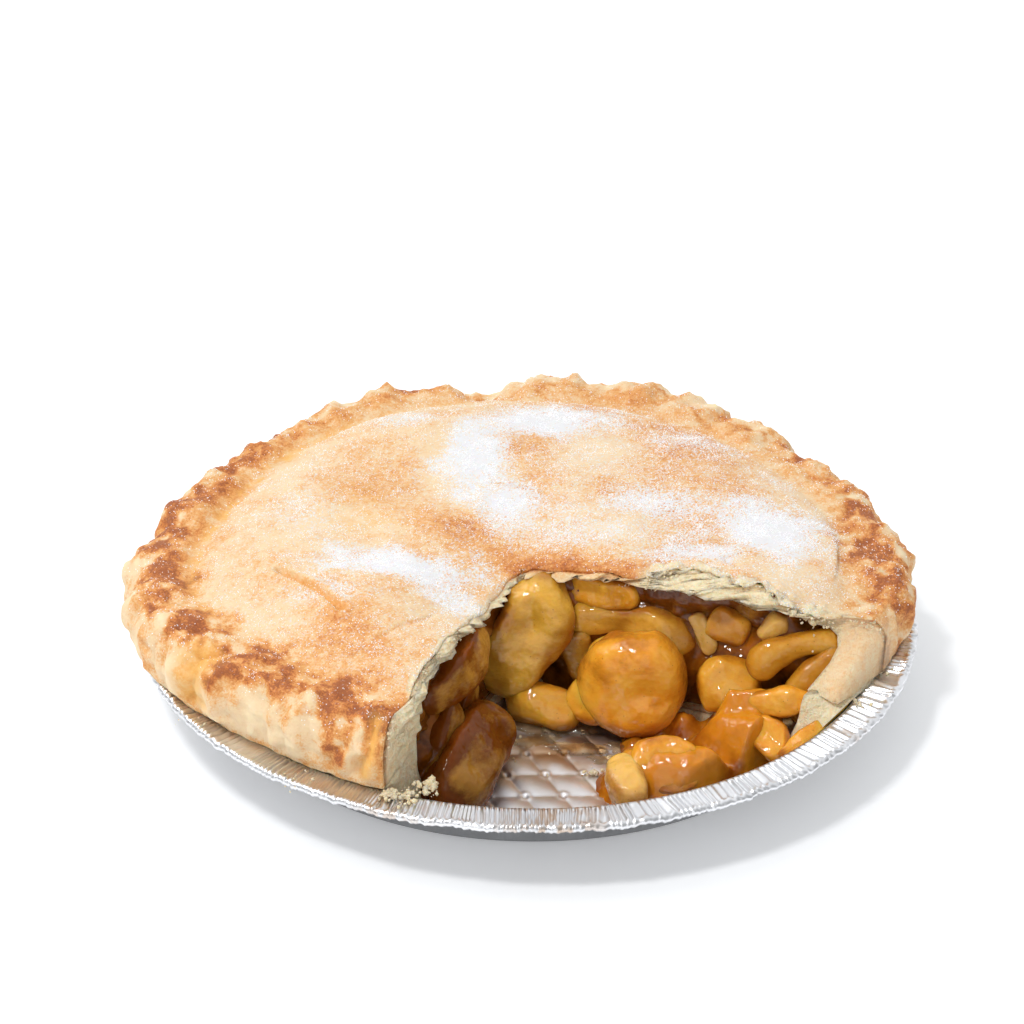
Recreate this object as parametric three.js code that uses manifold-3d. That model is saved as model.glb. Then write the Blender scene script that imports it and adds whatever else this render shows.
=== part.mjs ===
// Double-crust apple pie in its foil tin, with a quarter cut out.
// Millimetres, +Z up. The origin is the centre of the tin's flat underside, and the
// cut-out quarter opens towards -Y, between a right cut and a left cut that meet at
// the cut corner. Every pastry and filling solid is a section carried round the cut
// corner from the right cut, counter-clockwise, to the left cut.
import * as THREE from 'three';
import Module from 'manifold-3d';

const wasm = await Module();
wasm.setup();

// ---------------------------------------------------------------- driving dimensions

const FIT_GAP = 0.35;          // clearance left between pieces that touch

// foil tin: a 9 inch shallow pie tin
const TIN_OUTER_R = 122;       // outside of the rolled rim
const TIN_HEIGHT = 23.8;       // top of the rolled rim
const TIN_FLANGE_R = 111.3;    // where the wall turns out into the flange
const TIN_FLANGE_Z = 22.6;     // underside of the flange
const TIN_BASE_R = 93;         // flat part of the base
const TIN_CORNER_R = 98.4;     // top of the rounded corner between base and wall
const TIN_CORNER_Z = 4.4;
const FOIL = 0.5;              // foil thickness, a little heavier than the real 0.1
const BEAD = 2.6;              // height of the rolled rim
const TIN_SIDES = 72;

// the cut
const CORNER = { x: -4.7, y: -12 };   // where the two cuts meet, in plan
const CUT_RIGHT = -20;         // direction of the right cut, degrees
const CUT_LEFT = 249.4;        // direction of the left cut, degrees
const RIM_SET_BACK = 7;        // the rim breaks off this much before the right cut, degrees
const LINING_REACH = 14.5;     // and the lining in the tin's wall reaches this much further
const CORNER_IN = 1.2;         // every section starts this far from the cut corner
const CORNER_FILLET = 5;       // the cuts run into each other round this radius

// pastry
const CRUST_R = 112.5;         // radius of the crimped rim between its folds
const CRUST_WIDE_LEFT = 9;     // the rim hangs further over the tin on the left
const CRUST_WIDE_RIGHT = 4;    // and a little at the right cut
const CRUST_SHORT_BACK = 2;    // and is drawn in between its folds at the back right
const CREST_DIP = 5;           // the crest dips between two folds at the back
const RIM_Z = 24.3;            // underside of the crimped rim, resting on the flange
const SEAM_Z = 26.4;           // where top and bottom crust meet, at the inner wall
const CREST_Z = 42.8;          // crest of the crimped rim before the folds' lift
const CREST_IN = 10;           // crest of the crimped rim, inwards of the outline
const CREASE_IN = 17;          // crease between rim and dome, inwards of the outline
const CREASE_WIDTH = 8;        // from the crease to the full height of the dome
const DOME_Z = 49;             // height of the dome
const LID = 4.4;               // thickness of the top crust over the filling
const LID_THIN = 1.6;          // how much thinner it is beside the right cut
const WALL_R = 99;             // inside of the pastry wall at the seam
const WALL_FLARE_RIGHT = 5;    // the hollow widens upwards beside the right cut
const WALL_THICK_LEFT = 10;    // extra thickness of that wall next to the left cut
const BASE_CRUST = 4.2;        // thickness of the bottom crust on the tin's base
const CRUST_STATIONS = 81;
const LINING_STATIONS = 41;

// folds pinched into the rim: direction, lift and reach of each
const FOLD_HALF_WIDTH = 7.2;   // degrees
const FOLD_SLANT = 0.2;        // degrees round the rim for each millimetre inwards
const FOLDS = [
  [-16, 2.0, 4.0], [-3, 2.8, 5.4], [11, 3.0, 6.2], [23, 3.4, 6.8], [38.5, 3.8, 8.6],
  [52, 4.6, 9.4], [65, 9.6, 10.0], [75, 4.0, 5.0], [84, 4.0, 5.6], [97.5, 1.4, 1.4],
  [108, 3.4, 5.0], [120, 3.2, 4.6], [131, 2.4, 2.4], [143, 1.6, 1.4], [158, 3.0, 3.4],
  [167, 3.4, 5.6], [183, 2.6, 7.0], [194, 2.4, 4.4], [204, 2.6, 4.2], [214, 3.2, 5.0],
  [223, 3.2, 3.4], [234, 2.4, 2.2], [245, 2.2, 1.6],
];

// filling
const FILLING_RECESS = 3.2;    // the filling's faces stand back from the cuts, degrees

const COLOURS = {
  foil: 0xc9cccd,
  topCrust: 0xe0ac70,
  bottomCrust: 0xe6cf9c,
  filling: 0x8a5216,
  spill: 0xb8691a,
};

// ------------------------------------------------------------------------- helpers

const rad = THREE.MathUtils.degToRad;
const { lerp, smoothstep } = THREE.MathUtils;

/** A bell curve, 1 at zero and falling off over the given spread. */
function bell(x, spread) {
  return Math.exp(-((x / spread) ** 2));
}

/** The difference of two directions in degrees, from -180 to 180. */
function turn(a, b) {
  return ((((a - b) % 360) + 540) % 360) - 180;
}

/** A point in plan, at distance t from the cut corner in direction phi. */
function fromCorner(t, phi) {
  return [CORNER.x + t * Math.cos(rad(phi)), CORNER.y + t * Math.sin(rad(phi))];
}

/** The distance from the cut corner, along phi, to the circle of radius r round the tin. */
function distanceToRadius(phi, r) {
  const along = CORNER.x * Math.cos(rad(phi)) + CORNER.y * Math.sin(rad(phi));
  const square = CORNER.x ** 2 + CORNER.y ** 2;
  return -along + Math.sqrt(along ** 2 + r ** 2 - square);
}

/** The direction, round the tin's centre, of a point in plan. */
function tinDirection(x, y) {
  return THREE.MathUtils.radToDeg(Math.atan2(y, x));
}

/** A closed solid from points and faces, turned outwards. */
function solidFrom(points, faces) {
  let volume = 0;
  for (const [a, b, c] of faces) {
    const [p, q, r] = [points[a], points[b], points[c]];
    volume += p[0] * (q[1] * r[2] - q[2] * r[1]);
    volume += p[1] * (q[2] * r[0] - q[0] * r[2]);
    volume += p[2] * (q[0] * r[1] - q[1] * r[0]);
  }
  const outward = volume > 0 ? faces : faces.map(([a, b, c]) => [a, c, b]);
  const mesh = new wasm.Mesh({
    numProp: 3,
    vertProperties: new Float32Array(points.flat()),
    triVerts: new Uint32Array(outward.flat()),
  });
  return new wasm.Manifold(mesh);
}

/** The walls between neighbouring rings that all have the same number of points. */
function ringWalls(ringCount, pointCount) {
  const faces = [];
  for (let i = 0; i + 1 < ringCount; i += 1) {
    for (let j = 0; j < pointCount; j += 1) {
      const a = i * pointCount + j;
      const b = i * pointCount + ((j + 1) % pointCount);
      const c = a + pointCount;
      const d = b + pointCount;
      faces.push([a, b, d], [a, d, c]);
    }
  }
  return faces;
}

/** A cut face across a section whose outer and inner points stand opposite each other. */
function sectionCap(first, pointCount, flipped) {
  const faces = [];
  for (let j = 0; j + 1 < pointCount / 2; j += 1) {
    const a = first + j;
    const b = first + j + 1;
    const c = first + pointCount - 2 - j;
    const d = first + pointCount - 1 - j;
    faces.push(flipped ? [a, b, c] : [a, c, b]);
    faces.push(flipped ? [a, c, d] : [a, d, c]);
  }
  return faces;
}

/** Carries section(phi, side) round the cut corner: outer points out, inner points back. */
function carriedRound(stations, section) {
  const points = [];
  let pointCount = 0;
  for (let i = 0; i < stations; i += 1) {
    const { outer, inner } = section(i / (stations - 1));
    const ring = [...outer, ...inner.reverse()];
    pointCount = ring.length;
    points.push(...ring);
  }
  const faces = [
    ...ringWalls(stations, pointCount),
    ...sectionCap(0, pointCount, false),
    ...sectionCap((stations - 1) * pointCount, pointCount, true),
  ];
  return solidFrom(points, faces);
}

/** A named mesh of a solid. */
function meshOf(name, solid, colour, roughness, metalness = 0) {
  const { vertProperties, triVerts, numProp } = solid.getMesh();
  const positions = [];
  for (let i = 0; i < vertProperties.length; i += numProp) {
    positions.push(vertProperties[i], vertProperties[i + 1], vertProperties[i + 2]);
  }
  const geometry = new THREE.BufferGeometry();
  geometry.setAttribute('position', new THREE.Float32BufferAttribute(positions, 3));
  geometry.setIndex([...triVerts]);
  geometry.computeVertexNormals();
  const material = new THREE.MeshStandardMaterial({ color: colour, roughness, metalness });
  const mesh = new THREE.Mesh(geometry, material);
  mesh.name = name;
  return mesh;
}

// ------------------------------------------------------------------------ foil tin

/** The solid inside a profile of [radius, height] points turned round the tin's axis. */
function turned(profile) {
  const last = profile.length - 1;
  const ringPoints = profile.slice(1, last);
  const points = [[0, 0, profile[0][1]], [0, 0, profile[last][1]]];
  const faces = [];
  const at = (side, j) => 2 + (side % TIN_SIDES) * ringPoints.length + j;
  for (let side = 0; side < TIN_SIDES; side += 1) {
    const angle = (2 * Math.PI * side) / TIN_SIDES;
    for (const [r, z] of ringPoints) {
      points.push([r * Math.cos(angle), r * Math.sin(angle), z]);
    }
    faces.push([0, at(side + 1, 0), at(side, 0)]);
    faces.push([1, at(side, ringPoints.length - 1), at(side + 1, ringPoints.length - 1)]);
    for (let j = 0; j + 1 < ringPoints.length; j += 1) {
      faces.push([at(side, j), at(side + 1, j), at(side + 1, j + 1)]);
      faces.push([at(side, j), at(side + 1, j + 1), at(side, j + 1)]);
    }
  }
  return solidFrom(points, faces);
}

/** The tin: flat base, rounded corner, sloping wall, flat flange and rolled rim. */
function foilTin() {
  const beadIn = TIN_OUTER_R - 3;
  const beadLow = TIN_HEIGHT - BEAD;
  return turned([
    [0, 0],
    [TIN_BASE_R, 0],
    [TIN_BASE_R + 3.8, 1.3],
    [TIN_CORNER_R, TIN_CORNER_Z],
    [TIN_FLANGE_R, TIN_FLANGE_Z],
    [beadIn, TIN_FLANGE_Z + 0.2],
    [TIN_OUTER_R - 1, beadLow],
    [TIN_OUTER_R, TIN_HEIGHT - 0.9],
    [TIN_OUTER_R - 1.3, TIN_HEIGHT],
    [beadIn, TIN_FLANGE_Z + 0.2 + FOIL],
    [TIN_FLANGE_R - 0.3, TIN_FLANGE_Z + FOIL],
    [TIN_CORNER_R - FOIL, TIN_CORNER_Z + 0.3],
    [TIN_BASE_R - 0.2, FOIL],
    [0, FOIL],
  ]);
}

/** Everything that the tin holds, up to well above the pie. */
function insideTin() {
  const top = DOME_Z + 20;
  return turned([
    [0, FOIL + FIT_GAP],
    [TIN_BASE_R - 0.6, FOIL + FIT_GAP],
    [TIN_BASE_R + 3, 1.6 + FOIL + FIT_GAP],
    [TIN_CORNER_R - FOIL - 0.7, TIN_CORNER_Z + 0.8],
    [TIN_FLANGE_R - 0.9, TIN_FLANGE_Z + FOIL + 0.4],
    [TIN_FLANGE_R, top],
    [0, top],
  ]);
}

// -------------------------------------------------------------------------- pastry

/** The outline of the crimped rim in plan: its radius in a direction round the tin. */
function rimOutline(direction) {
  const left = CRUST_WIDE_LEFT * bell(turn(direction, 197), 20);
  const right = CRUST_WIDE_RIGHT * bell(turn(direction, -12), 21);
  const back = CRUST_SHORT_BACK * bell(turn(direction, 35), 20);
  return CRUST_R + left + right - back;
}

/**
 * Lift and reach of the folds in a direction: the highest of the overlapping pinches. The
 * pinches slant, so that inwards of the outline they lie further round.
 */
function folds(outlineDirection, inward) {
  const direction = outlineDirection - FOLD_SLANT * inward;
  let lift = 0;
  let reach = 0;
  for (const [centre, foldLift, foldReach] of FOLDS) {
    const across = turn(direction, centre) / FOLD_HALF_WIDTH;
    const pinch = 1 - across * across;
    lift = Math.max(lift, foldLift * pinch);
    reach = Math.max(reach, foldReach * pinch);
  }
  return { lift, reach };
}

/** The distance from the cut corner to the rim's outline along phi. */
function distanceToOutline(phi) {
  let t = CRUST_R;
  for (let i = 0; i < 6; i += 1) {
    const [x, y] = fromCorner(t, phi);
    t += rimOutline(tinDirection(x, y)) - Math.hypot(x, y);
  }
  return t;
}

/** Height of the dome: level, sagging beside the left cut and swelling near its rim. */
function domeHeight(x, y) {
  const dx = x - CORNER.x;
  const dy = y - CORNER.y;
  const along = dx * Math.cos(rad(CUT_LEFT)) + dy * Math.sin(rad(CUT_LEFT));
  const across = dx * Math.sin(rad(CUT_LEFT)) - dy * Math.cos(rad(CUT_LEFT));
  const sag = 6.6 * bell(along - 20, 34) * bell(across, 19);
  const swell = 2.2 * bell(along - 72, 15) * bell(across, 24);
  const waves = 0.9 * Math.sin(0.062 * x + 0.8) * Math.cos(0.055 * y - 0.6);
  return DOME_Z - sag + swell + waves + 0.6 * Math.sin(0.11 * y + 0.05 * x + 2.1);
}

/** Thickness of the lid: thinner where the filling has pushed up beside the right cut. */
function lidThickness(x, y) {
  return LID - LID_THIN * bell(turn(tinDirection(x - CORNER.x, y - CORNER.y), CUT_RIGHT), 45);
}

/**
 * A point of the pastry at distance t and height z, at a share of the way round. The cuts
 * run into each other round a fillet. At the right cut the rim is set back, and the lining
 * in the tin's wall reaches further round than the lid, following the tin.
 */
function pastryPoint(share, t, z) {
  const fillet = 42 * Math.exp(-t / CORNER_FILLET);
  const low = 1 - smoothstep(z, RIM_Z, CREST_Z);
  const inWall = smoothstep(t, 84, 96) * (1 - smoothstep(t, 108, 114));
  const rim = RIM_SET_BACK * smoothstep(t, 84, 112);
  const right = CUT_RIGHT - fillet + rim - LINING_REACH * low * inWall;
  const left = CUT_LEFT + fillet;
  const phi = lerp(right, left, share);
  const section = lerp(CUT_RIGHT, CUT_LEFT, share);
  const round = distanceToRadius(phi, TIN_FLANGE_R) / distanceToRadius(section, TIN_FLANGE_R);
  return [...fromCorner(t * round, phi), z];
}

/** Inner radius of the pastry wall, thicker beside the left cut. */
function wallRadius(direction) {
  return WALL_R - WALL_THICK_LEFT * bell(turn(direction, 250), 36);
}

/** How far that wall leans outwards towards the lid. */
function wallFlare(direction) {
  return WALL_FLARE_RIGHT * bell(turn(direction, -20), 30);
}

/** Section of the top crust: crimped rim and dome outside, wall and lid inside. */
function topCrustSection(share) {
  const phi = lerp(CUT_RIGHT, CUT_LEFT, share);
  const edge = distanceToOutline(phi);
  const direction = tinDirection(...fromCorner(edge, phi));
  const { reach } = folds(direction, 0);
  const { lift } = folds(direction, CREST_IN);
  const dome = (t) => domeHeight(...fromCorner(t, phi));
  const crestZ = CREST_Z + lift - CREST_DIP * bell(turn(direction, 92), 5);
  const creaseT = edge - CREASE_IN;
  const creaseDrop = 1.5 + 1.1 * Math.cos(rad(direction - 165));
  const creaseZ = Math.min(dome(creaseT), CREST_Z + 0.9) - creaseDrop;
  const shoulder = creaseT - CREASE_WIDTH;
  const outer = [
    [edge - 0.8 + 0.4 * reach, RIM_Z],
    [edge - 0.8 + 0.8 * reach, RIM_Z + 4.5],
    [edge - 0.6 + reach, RIM_Z + 10],
    [edge - 1.4 + reach, CREST_Z - 4.4],
    [edge - 4.4 + 0.7 * reach, crestZ - 0.8 - 0.1 * lift],
    [edge - CREST_IN, crestZ],
    [creaseT, creaseZ],
    [creaseT - 3, lerp(creaseZ, dome(creaseT - 3), 0.65)],
    [shoulder, dome(shoulder)],
    [0.68 * shoulder, dome(0.68 * shoulder)],
    [0.34 * shoulder, dome(0.34 * shoulder)],
    [CORNER_IN, dome(CORNER_IN)],
  ];
  const wall = distanceToRadius(phi, wallRadius(direction));
  const flare = wallFlare(direction);
  const under = (t) => dome(t) - lidThickness(...fromCorner(t, phi));
  const inner = [
    [wall, SEAM_Z],
    [wall - 0.3 + 0.4 * flare, 30],
    [wall - 0.6 + 0.8 * flare, 33.5],
    [wall - 1.8 + flare, 37],
    [wall - 5 + flare, Math.min(39.8, under(wall - 5))],
    [wall - 10 + 0.6 * flare, Math.min(41.6, under(wall - 10))],
    [wall - 16, under(wall - 16)],
    [0.85 * shoulder, under(0.85 * shoulder)],
    [0.74 * shoulder, under(0.74 * shoulder)],
    [0.58 * shoulder, under(0.58 * shoulder)],
    [0.32 * shoulder, under(0.32 * shoulder)],
    [CORNER_IN, under(CORNER_IN)],
  ];
  return {
    outer: outer.map(([t, z]) => pastryPoint(share, t, z)),
    inner: inner.map(([t, z]) => pastryPoint(share, t, z)),
  };
}

/** Section of the bottom crust: against the tin outside, round the filling inside. */
function bottomCrustSection(share) {
  const phi = lerp(CUT_RIGHT, CUT_LEFT, share);
  const toRadius = (r) => distanceToRadius(phi, r);
  const direction = tinDirection(...fromCorner(TIN_BASE_R, phi));
  const wall = toRadius(wallRadius(direction));
  const lip = toRadius(Math.min(TIN_FLANGE_R + 1, rimOutline(direction) - 1.6));
  const under = FOIL + FIT_GAP;
  const floor = under + BASE_CRUST;
  const base = toRadius(TIN_BASE_R - 9);
  const outer = [
    [lip, TIN_FLANGE_Z + FOIL + 0.5],
    [toRadius(TIN_FLANGE_R - 1), TIN_FLANGE_Z + FOIL + 0.4],
    [toRadius(TIN_FLANGE_R - 8.2), 13],
    [toRadius(TIN_CORNER_R - 1.4), TIN_CORNER_Z + 0.6],
    [toRadius(TIN_BASE_R), under + 0.5],
    [base, under],
    [0.5 * base, under],
    [CORNER_IN, under],
  ];
  const seam = SEAM_Z - FIT_GAP;
  const inner = [
    [lip, RIM_Z - FIT_GAP],
    [lerp(wall, lip, 0.5), lerp(seam, RIM_Z - FIT_GAP, 0.5) - 0.1],
    [wall + 0.2, seam],
    [wall - 1.4, 16],
    [wall - 6, 7.4],
    [base - 5, floor],
    [0.5 * base, floor],
    [CORNER_IN, floor],
  ];
  return {
    outer: outer.map(([t, z]) => pastryPoint(share, t, z)),
    inner: inner.map(([t, z]) => pastryPoint(share, t, z)),
  };
}

// ------------------------------------------------------------------------- filling

/**
 * Section of the filling: floor and wall of pastry outside, lid inside. Its faces stand
 * back from the cuts by the recess, and further by the wall, where slices have slid out.
 */
function fillingSection(share, recess) {
  const phi = lerp(CUT_RIGHT, CUT_LEFT, share);
  const dome = (t) => domeHeight(...fromCorner(t, phi));
  const direction = tinDirection(...fromCorner(TIN_BASE_R, phi));
  const wall = distanceToRadius(phi, wallRadius(direction)) - 0.8;
  const flare = wallFlare(direction);
  const base = distanceToRadius(phi, TIN_BASE_R - 9);
  const floor = FOIL + FIT_GAP + BASE_CRUST + FIT_GAP;
  const inmost = CORNER_IN + 3;
  const under = (t) => dome(t) - lidThickness(...fromCorner(t, phi)) - 0.9;
  const below = [
    [wall - 0.4, SEAM_Z],
    [wall - 1.9, 16.2],
    [wall - 6.6, 8.2],
    [base - 7, floor],
    [0.5 * base, floor],
    [inmost, floor],
  ];
  const above = [
    [wall - 1.2 + 0.7 * flare, 33],
    [wall - 3.6 + flare, 36.6],
    [wall - 7.6 + flare, Math.min(38.6, under(wall - 7.6))],
    [wall - 18, under(wall - 18)],
    [0.5 * base, under(0.5 * base)],
    [inmost, under(inmost)],
  ];
  const place = ([t, z]) => {
    const back = recess * (1 + smoothstep(t, 70, 95));
    return [...fromCorner(t, lerp(CUT_RIGHT + back, CUT_LEFT - recess, share)), z];
  };
  return { outer: below.map(place), inner: above.map(place) };
}

/** The low mound of filling that has slid out of the right cut onto the bare foil. */
function spillSection(share) {
  const phi = lerp(CUT_RIGHT - 3.4, -52, share);
  const near = lerp(34, 58, share ** 1.5);
  const far = distanceToRadius(phi, TIN_BASE_R - 1);
  const floor = FOIL + FIT_GAP;
  const height = lerp(15, 3.5, smoothstep(share, 0, 1));
  const steps = [0, 0.25, 0.5, 0.75, 1];
  const crown = (u) => floor + 0.6 + height * Math.sin(Math.PI * lerp(0.04, 0.86, u)) ** 0.7;
  const place = (u, z) => [...fromCorner(lerp(near, far, u), phi), z];
  return {
    outer: steps.map((u) => place(u, floor)),
    inner: steps.map((u) => place(u, crown(u))),
  };
}

/** The open quarter, clear of both cut faces, as a space that slices may lie in. */
function openQuarter() {
  return carriedRound(8, (share) => {
    const phi = lerp(CUT_LEFT - 360 + 0.5, CUT_RIGHT - 0.5, share);
    const level = (z) => [3, 60, 110].map((t) => [...fromCorner(t, phi), z]);
    return { outer: level(FOIL + FIT_GAP), inner: level(DOME_Z + 10) };
  });
}

// -------------------------------------------------------------------- apple slices

const GOLD = 0xc07c22;
const OLIVE = 0xa6701c;
const AMBER = 0xc8741c;
const PALE = 0xd8963c;
const BROWN = 0x8c5018;

// Each slice: its two ends, how far its middle bows out from the straight line between
// them, its width and thickness, and the direction that its thickness faces.
const SLICES = [
  { name: 'slice_corner_tall', colour: OLIVE, from: [7, -15.5, 42.5], to: [-7, -30, 6],
    bow: [2.5, -4, 0], width: 24, thick: 15, face: [0, -1, 0.4] },
  { name: 'slice_half_round', colour: AMBER, from: [15.5, -33, 17], to: [49, -37, 17],
    bow: [0, -2, 0], width: 34, thick: 26, face: [0, -1, 0.4], blunt: 2.1 },
  { name: 'slice_long_upper', colour: OLIVE, from: [12.5, -17.5, 29], to: [51, -32, 28],
    bow: [0, 0, 2.5], width: 13, thick: 12, face: [0, -1, 0.4] },
  { name: 'slice_chunk_upper', colour: GOLD, from: [13.5, -15, 39], to: [35, -23, 39],
    bow: [0, 0, 0], width: 11, thick: 13, face: [0, -1, 0.3], blunt: 6 },
  { name: 'slice_behind_corner', colour: OLIVE, from: [14, -22, 27.5], to: [20, -27, 11],
    bow: [0, 0, 0], width: 12, thick: 10, face: [0, -1, 0.4] },
  { name: 'slice_under_corner', colour: GOLD, from: [-6, -28, 6.5], to: [19, -34, 7.5],
    bow: [0, -3, 0], width: 13, thick: 12, face: [0, -1, 0.8] },
  { name: 'slice_pale_upright', colour: PALE, from: [50.5, -28, 37], to: [56, -34, 26],
    bow: [0, 0, 0], width: 7.5, thick: 6, face: [0, -1, 0.4], blunt: 5 },
  { name: 'slice_amber_chunk', colour: AMBER, from: [55, -28, 36], to: [67, -33, 32],
    bow: [0, 0, 1], width: 10, thick: 9, face: [0, -1, 0.4], blunt: 4 },
  { name: 'slice_knob', colour: PALE, from: [71.5, -35, 32], to: [76, -35, 42],
    bow: [0, 0, 0], width: 9.5, thick: 9, face: [0, -1, 0.4] },
  { name: 'slice_diagonal', colour: GOLD, from: [66, -40, 25], to: [97, -38, 37],
    bow: [0, 0, 1.5], width: 9, thick: 9, face: [0, -1, 0.5] },
  { name: 'slice_round_top', colour: GOLD, from: [51.5, -38, 19], to: [71, -40, 21],
    bow: [0, 0, 0], width: 18, thick: 15, face: [0, -1, 0.4], blunt: 2.4 },
  { name: 'slice_hooked', colour: GOLD, from: [78, -46, 17], to: [96, -41, 33],
    bow: [-1, 0, 2], width: 9, thick: 8, face: [0, -1, 0.5] },
  { name: 'slice_front_long', colour: AMBER, from: [61, -45, 13], to: [88, -54, 19],
    bow: [0, 0, 2.5], width: 11, thick: 10, face: [0, -1, 0.6] },
  { name: 'slice_mound_lobe', colour: AMBER, from: [57, -57, 9], to: [78, -61, 12],
    bow: [0, 0, 2.5], width: 15, thick: 13, face: [0, -1, 0.9], blunt: 2.6 },
  { name: 'slice_wall_right', colour: AMBER, from: [72, -66, 11], to: [94, -52, 22],
    bow: [2, -2, 0], width: 10, thick: 8, face: [0, -1, 0.9] },
  { name: 'slice_front_pale', colour: PALE, from: [29, -63, 6], to: [34, -84, 7],
    bow: [-2, 0, 1], width: 10, thick: 10, face: [0, -0.3, 1] },
  { name: 'slice_front_chunk', colour: AMBER, from: [33, -69, 8], to: [58, -73, 11],
    bow: [0, 0, 1.5], width: 20, thick: 14, face: [0, -0.8, 1], blunt: 3 },
  { name: 'slice_left_flat', colour: BROWN, from: [-14, -36, 37.5], to: [-30, -71, 29],
    bow: [3, 0, 0], width: 13, thick: 9, face: [0.9, -0.4, 0.2] },
  { name: 'slice_left_upright', colour: GOLD, from: [-23.5, -57, 28], to: [-31, -79, 9],
    bow: [3, 0, 1], width: 10, thick: 9, face: [0.9, -0.4, 0.2] },
  { name: 'slice_left_small', colour: BROWN, from: [-18, -46, 27], to: [-21, -56, 14],
    bow: [1, 0, 0], width: 9, thick: 9, face: [0.9, -0.4, 0.2] },
  { name: 'slice_left_big', colour: GOLD, from: [-12, -47, 13], to: [-24, -90, 8],
    bow: [4, 0, 2], width: 22, thick: 16, face: [0.8, -0.4, 0.5], blunt: 2.6 },
  { name: 'slice_left_low', colour: BROWN, from: [-24, -65, 18], to: [-29, -84, 6],
    bow: [1, 0, 0], width: 10, thick: 8, face: [0.9, -0.4, 0.2] },
];

/** A slice: a rounded section carried along a bowed line and drawn in at both ends. */
function appleSlice({ from, to, bow, width, thick, face, blunt = 3 }, grow = 0) {
  const rings = 7;
  const sides = 8;
  const start = new THREE.Vector3(...from);
  const end = new THREE.Vector3(...to);
  const along = end.clone().sub(start).normalize();
  start.addScaledVector(along, -grow);
  end.addScaledVector(along, grow);
  const side = new THREE.Vector3(...face).cross(along).normalize();
  const front = along.clone().cross(side).normalize();
  const points = [start.toArray()];
  for (let i = 1; i <= rings; i += 1) {
    const u = 0.5 - 0.5 * Math.cos((Math.PI * i) / (rings + 1));
    const ends = Math.sqrt(1 - Math.abs(2 * u - 1) ** blunt);
    const middle = start.clone().lerp(end, u).addScaledVector(new THREE.Vector3(...bow), 4 * u * (1 - u));
    for (let j = 0; j < sides; j += 1) {
      const angle = (2 * Math.PI * j) / sides;
      const point = middle.clone();
      point.addScaledVector(side, (width / 2 + grow) * ends * Math.cos(angle));
      point.addScaledVector(front, (thick / 2 + grow) * ends * Math.sin(angle));
      points.push(point.toArray());
    }
  }
  points.push(end.toArray());
  const faces = ringWalls(rings, sides).map((corners) => corners.map((corner) => corner + 1));
  const last = points.length - 1;
  for (let j = 0; j < sides; j += 1) {
    const next = (j + 1) % sides;
    faces.push([0, 1 + next, 1 + j]);
    faces.push([last, last - sides + j, last - sides + next]);
  }
  return solidFrom(points, faces);
}

/** The largest of the pieces that a solid has been cut into. */
function largestPiece(solid) {
  return solid.decompose().sort((a, b) => b.volume() - a.volume())[0];
}

/** A solid joined with copies of itself moved a little each way, to keep others clear. */
function withClearance(solid) {
  const moves = [[1, 0, 0], [-1, 0, 0], [0, 1, 0], [0, -1, 0], [0, 0, 1], [0, 0, -1]];
  const copies = moves.map((move) => solid.translate(move.map((step) => step * FIT_GAP)));
  return copies.reduce((joined, copy) => joined.add(copy), solid);
}

/** Every slice inside the space that it may fill, each cut clear of those before it. */
function fittedSlices(space) {
  const fitted = [];
  let taken = appleSlice(SLICES[0], FIT_GAP);
  SLICES.forEach((slice, i) => {
    const room = i === 0 ? space : space.subtract(taken);
    fitted.push({ ...slice, solid: largestPiece(appleSlice(slice).intersect(room)) });
    taken = taken.add(appleSlice(slice, FIT_GAP));
  });
  return { fitted, taken };
}

// ------------------------------------------------------------------------ assembly

const topCrust = carriedRound(CRUST_STATIONS, topCrustSection);
const bottomCrust = carriedRound(LINING_STATIONS, bottomCrustSection);
const pastrySpace = withClearance(topCrust.add(bottomCrust));
const tinSpace = insideTin();
const fullFilling = carriedRound(LINING_STATIONS, (share) => fillingSection(share, 0.2));
const sliceSpace = fullFilling.add(openQuarter()).intersect(tinSpace).subtract(pastrySpace);
const { fitted, taken } = fittedSlices(sliceSpace);
const fillingBlock = carriedRound(LINING_STATIONS, (share) => fillingSection(share, FILLING_RECESS));
const filling = largestPiece(fillingBlock.subtract(pastrySpace).subtract(taken));
const spillBlock = carriedRound(10, spillSection).intersect(tinSpace);
const spill = largestPiece(spillBlock.subtract(pastrySpace).subtract(taken));

const group = new THREE.Group();
group.add(meshOf('foil_tin', foilTin(), COLOURS.foil, 0.3, 1));
group.add(meshOf('top_crust', topCrust, COLOURS.topCrust, 0.75));
group.add(meshOf('bottom_crust', bottomCrust, COLOURS.bottomCrust, 0.8));
group.add(meshOf('apple_filling', filling, COLOURS.filling, 0.3));
group.add(meshOf('spilled_filling', spill, COLOURS.spill, 0.25));
for (const { name, solid, colour } of fitted) {
  group.add(meshOf(name, solid, colour, 0.25));
}

export default group;
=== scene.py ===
"""Double-crust apple pie in a foil tin, with a quarter cut out, on a pale floor.

The pie's own frame is used throughout: the origin is the middle of the tin's flat underside,
+Z is up, and the cut-out quarter opens towards -Y. Shapes are worked out in millimetres and
become metres when a mesh is made.
"""
import math

import bpy
import numpy as np
from mathutils import Matrix, Vector


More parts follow.
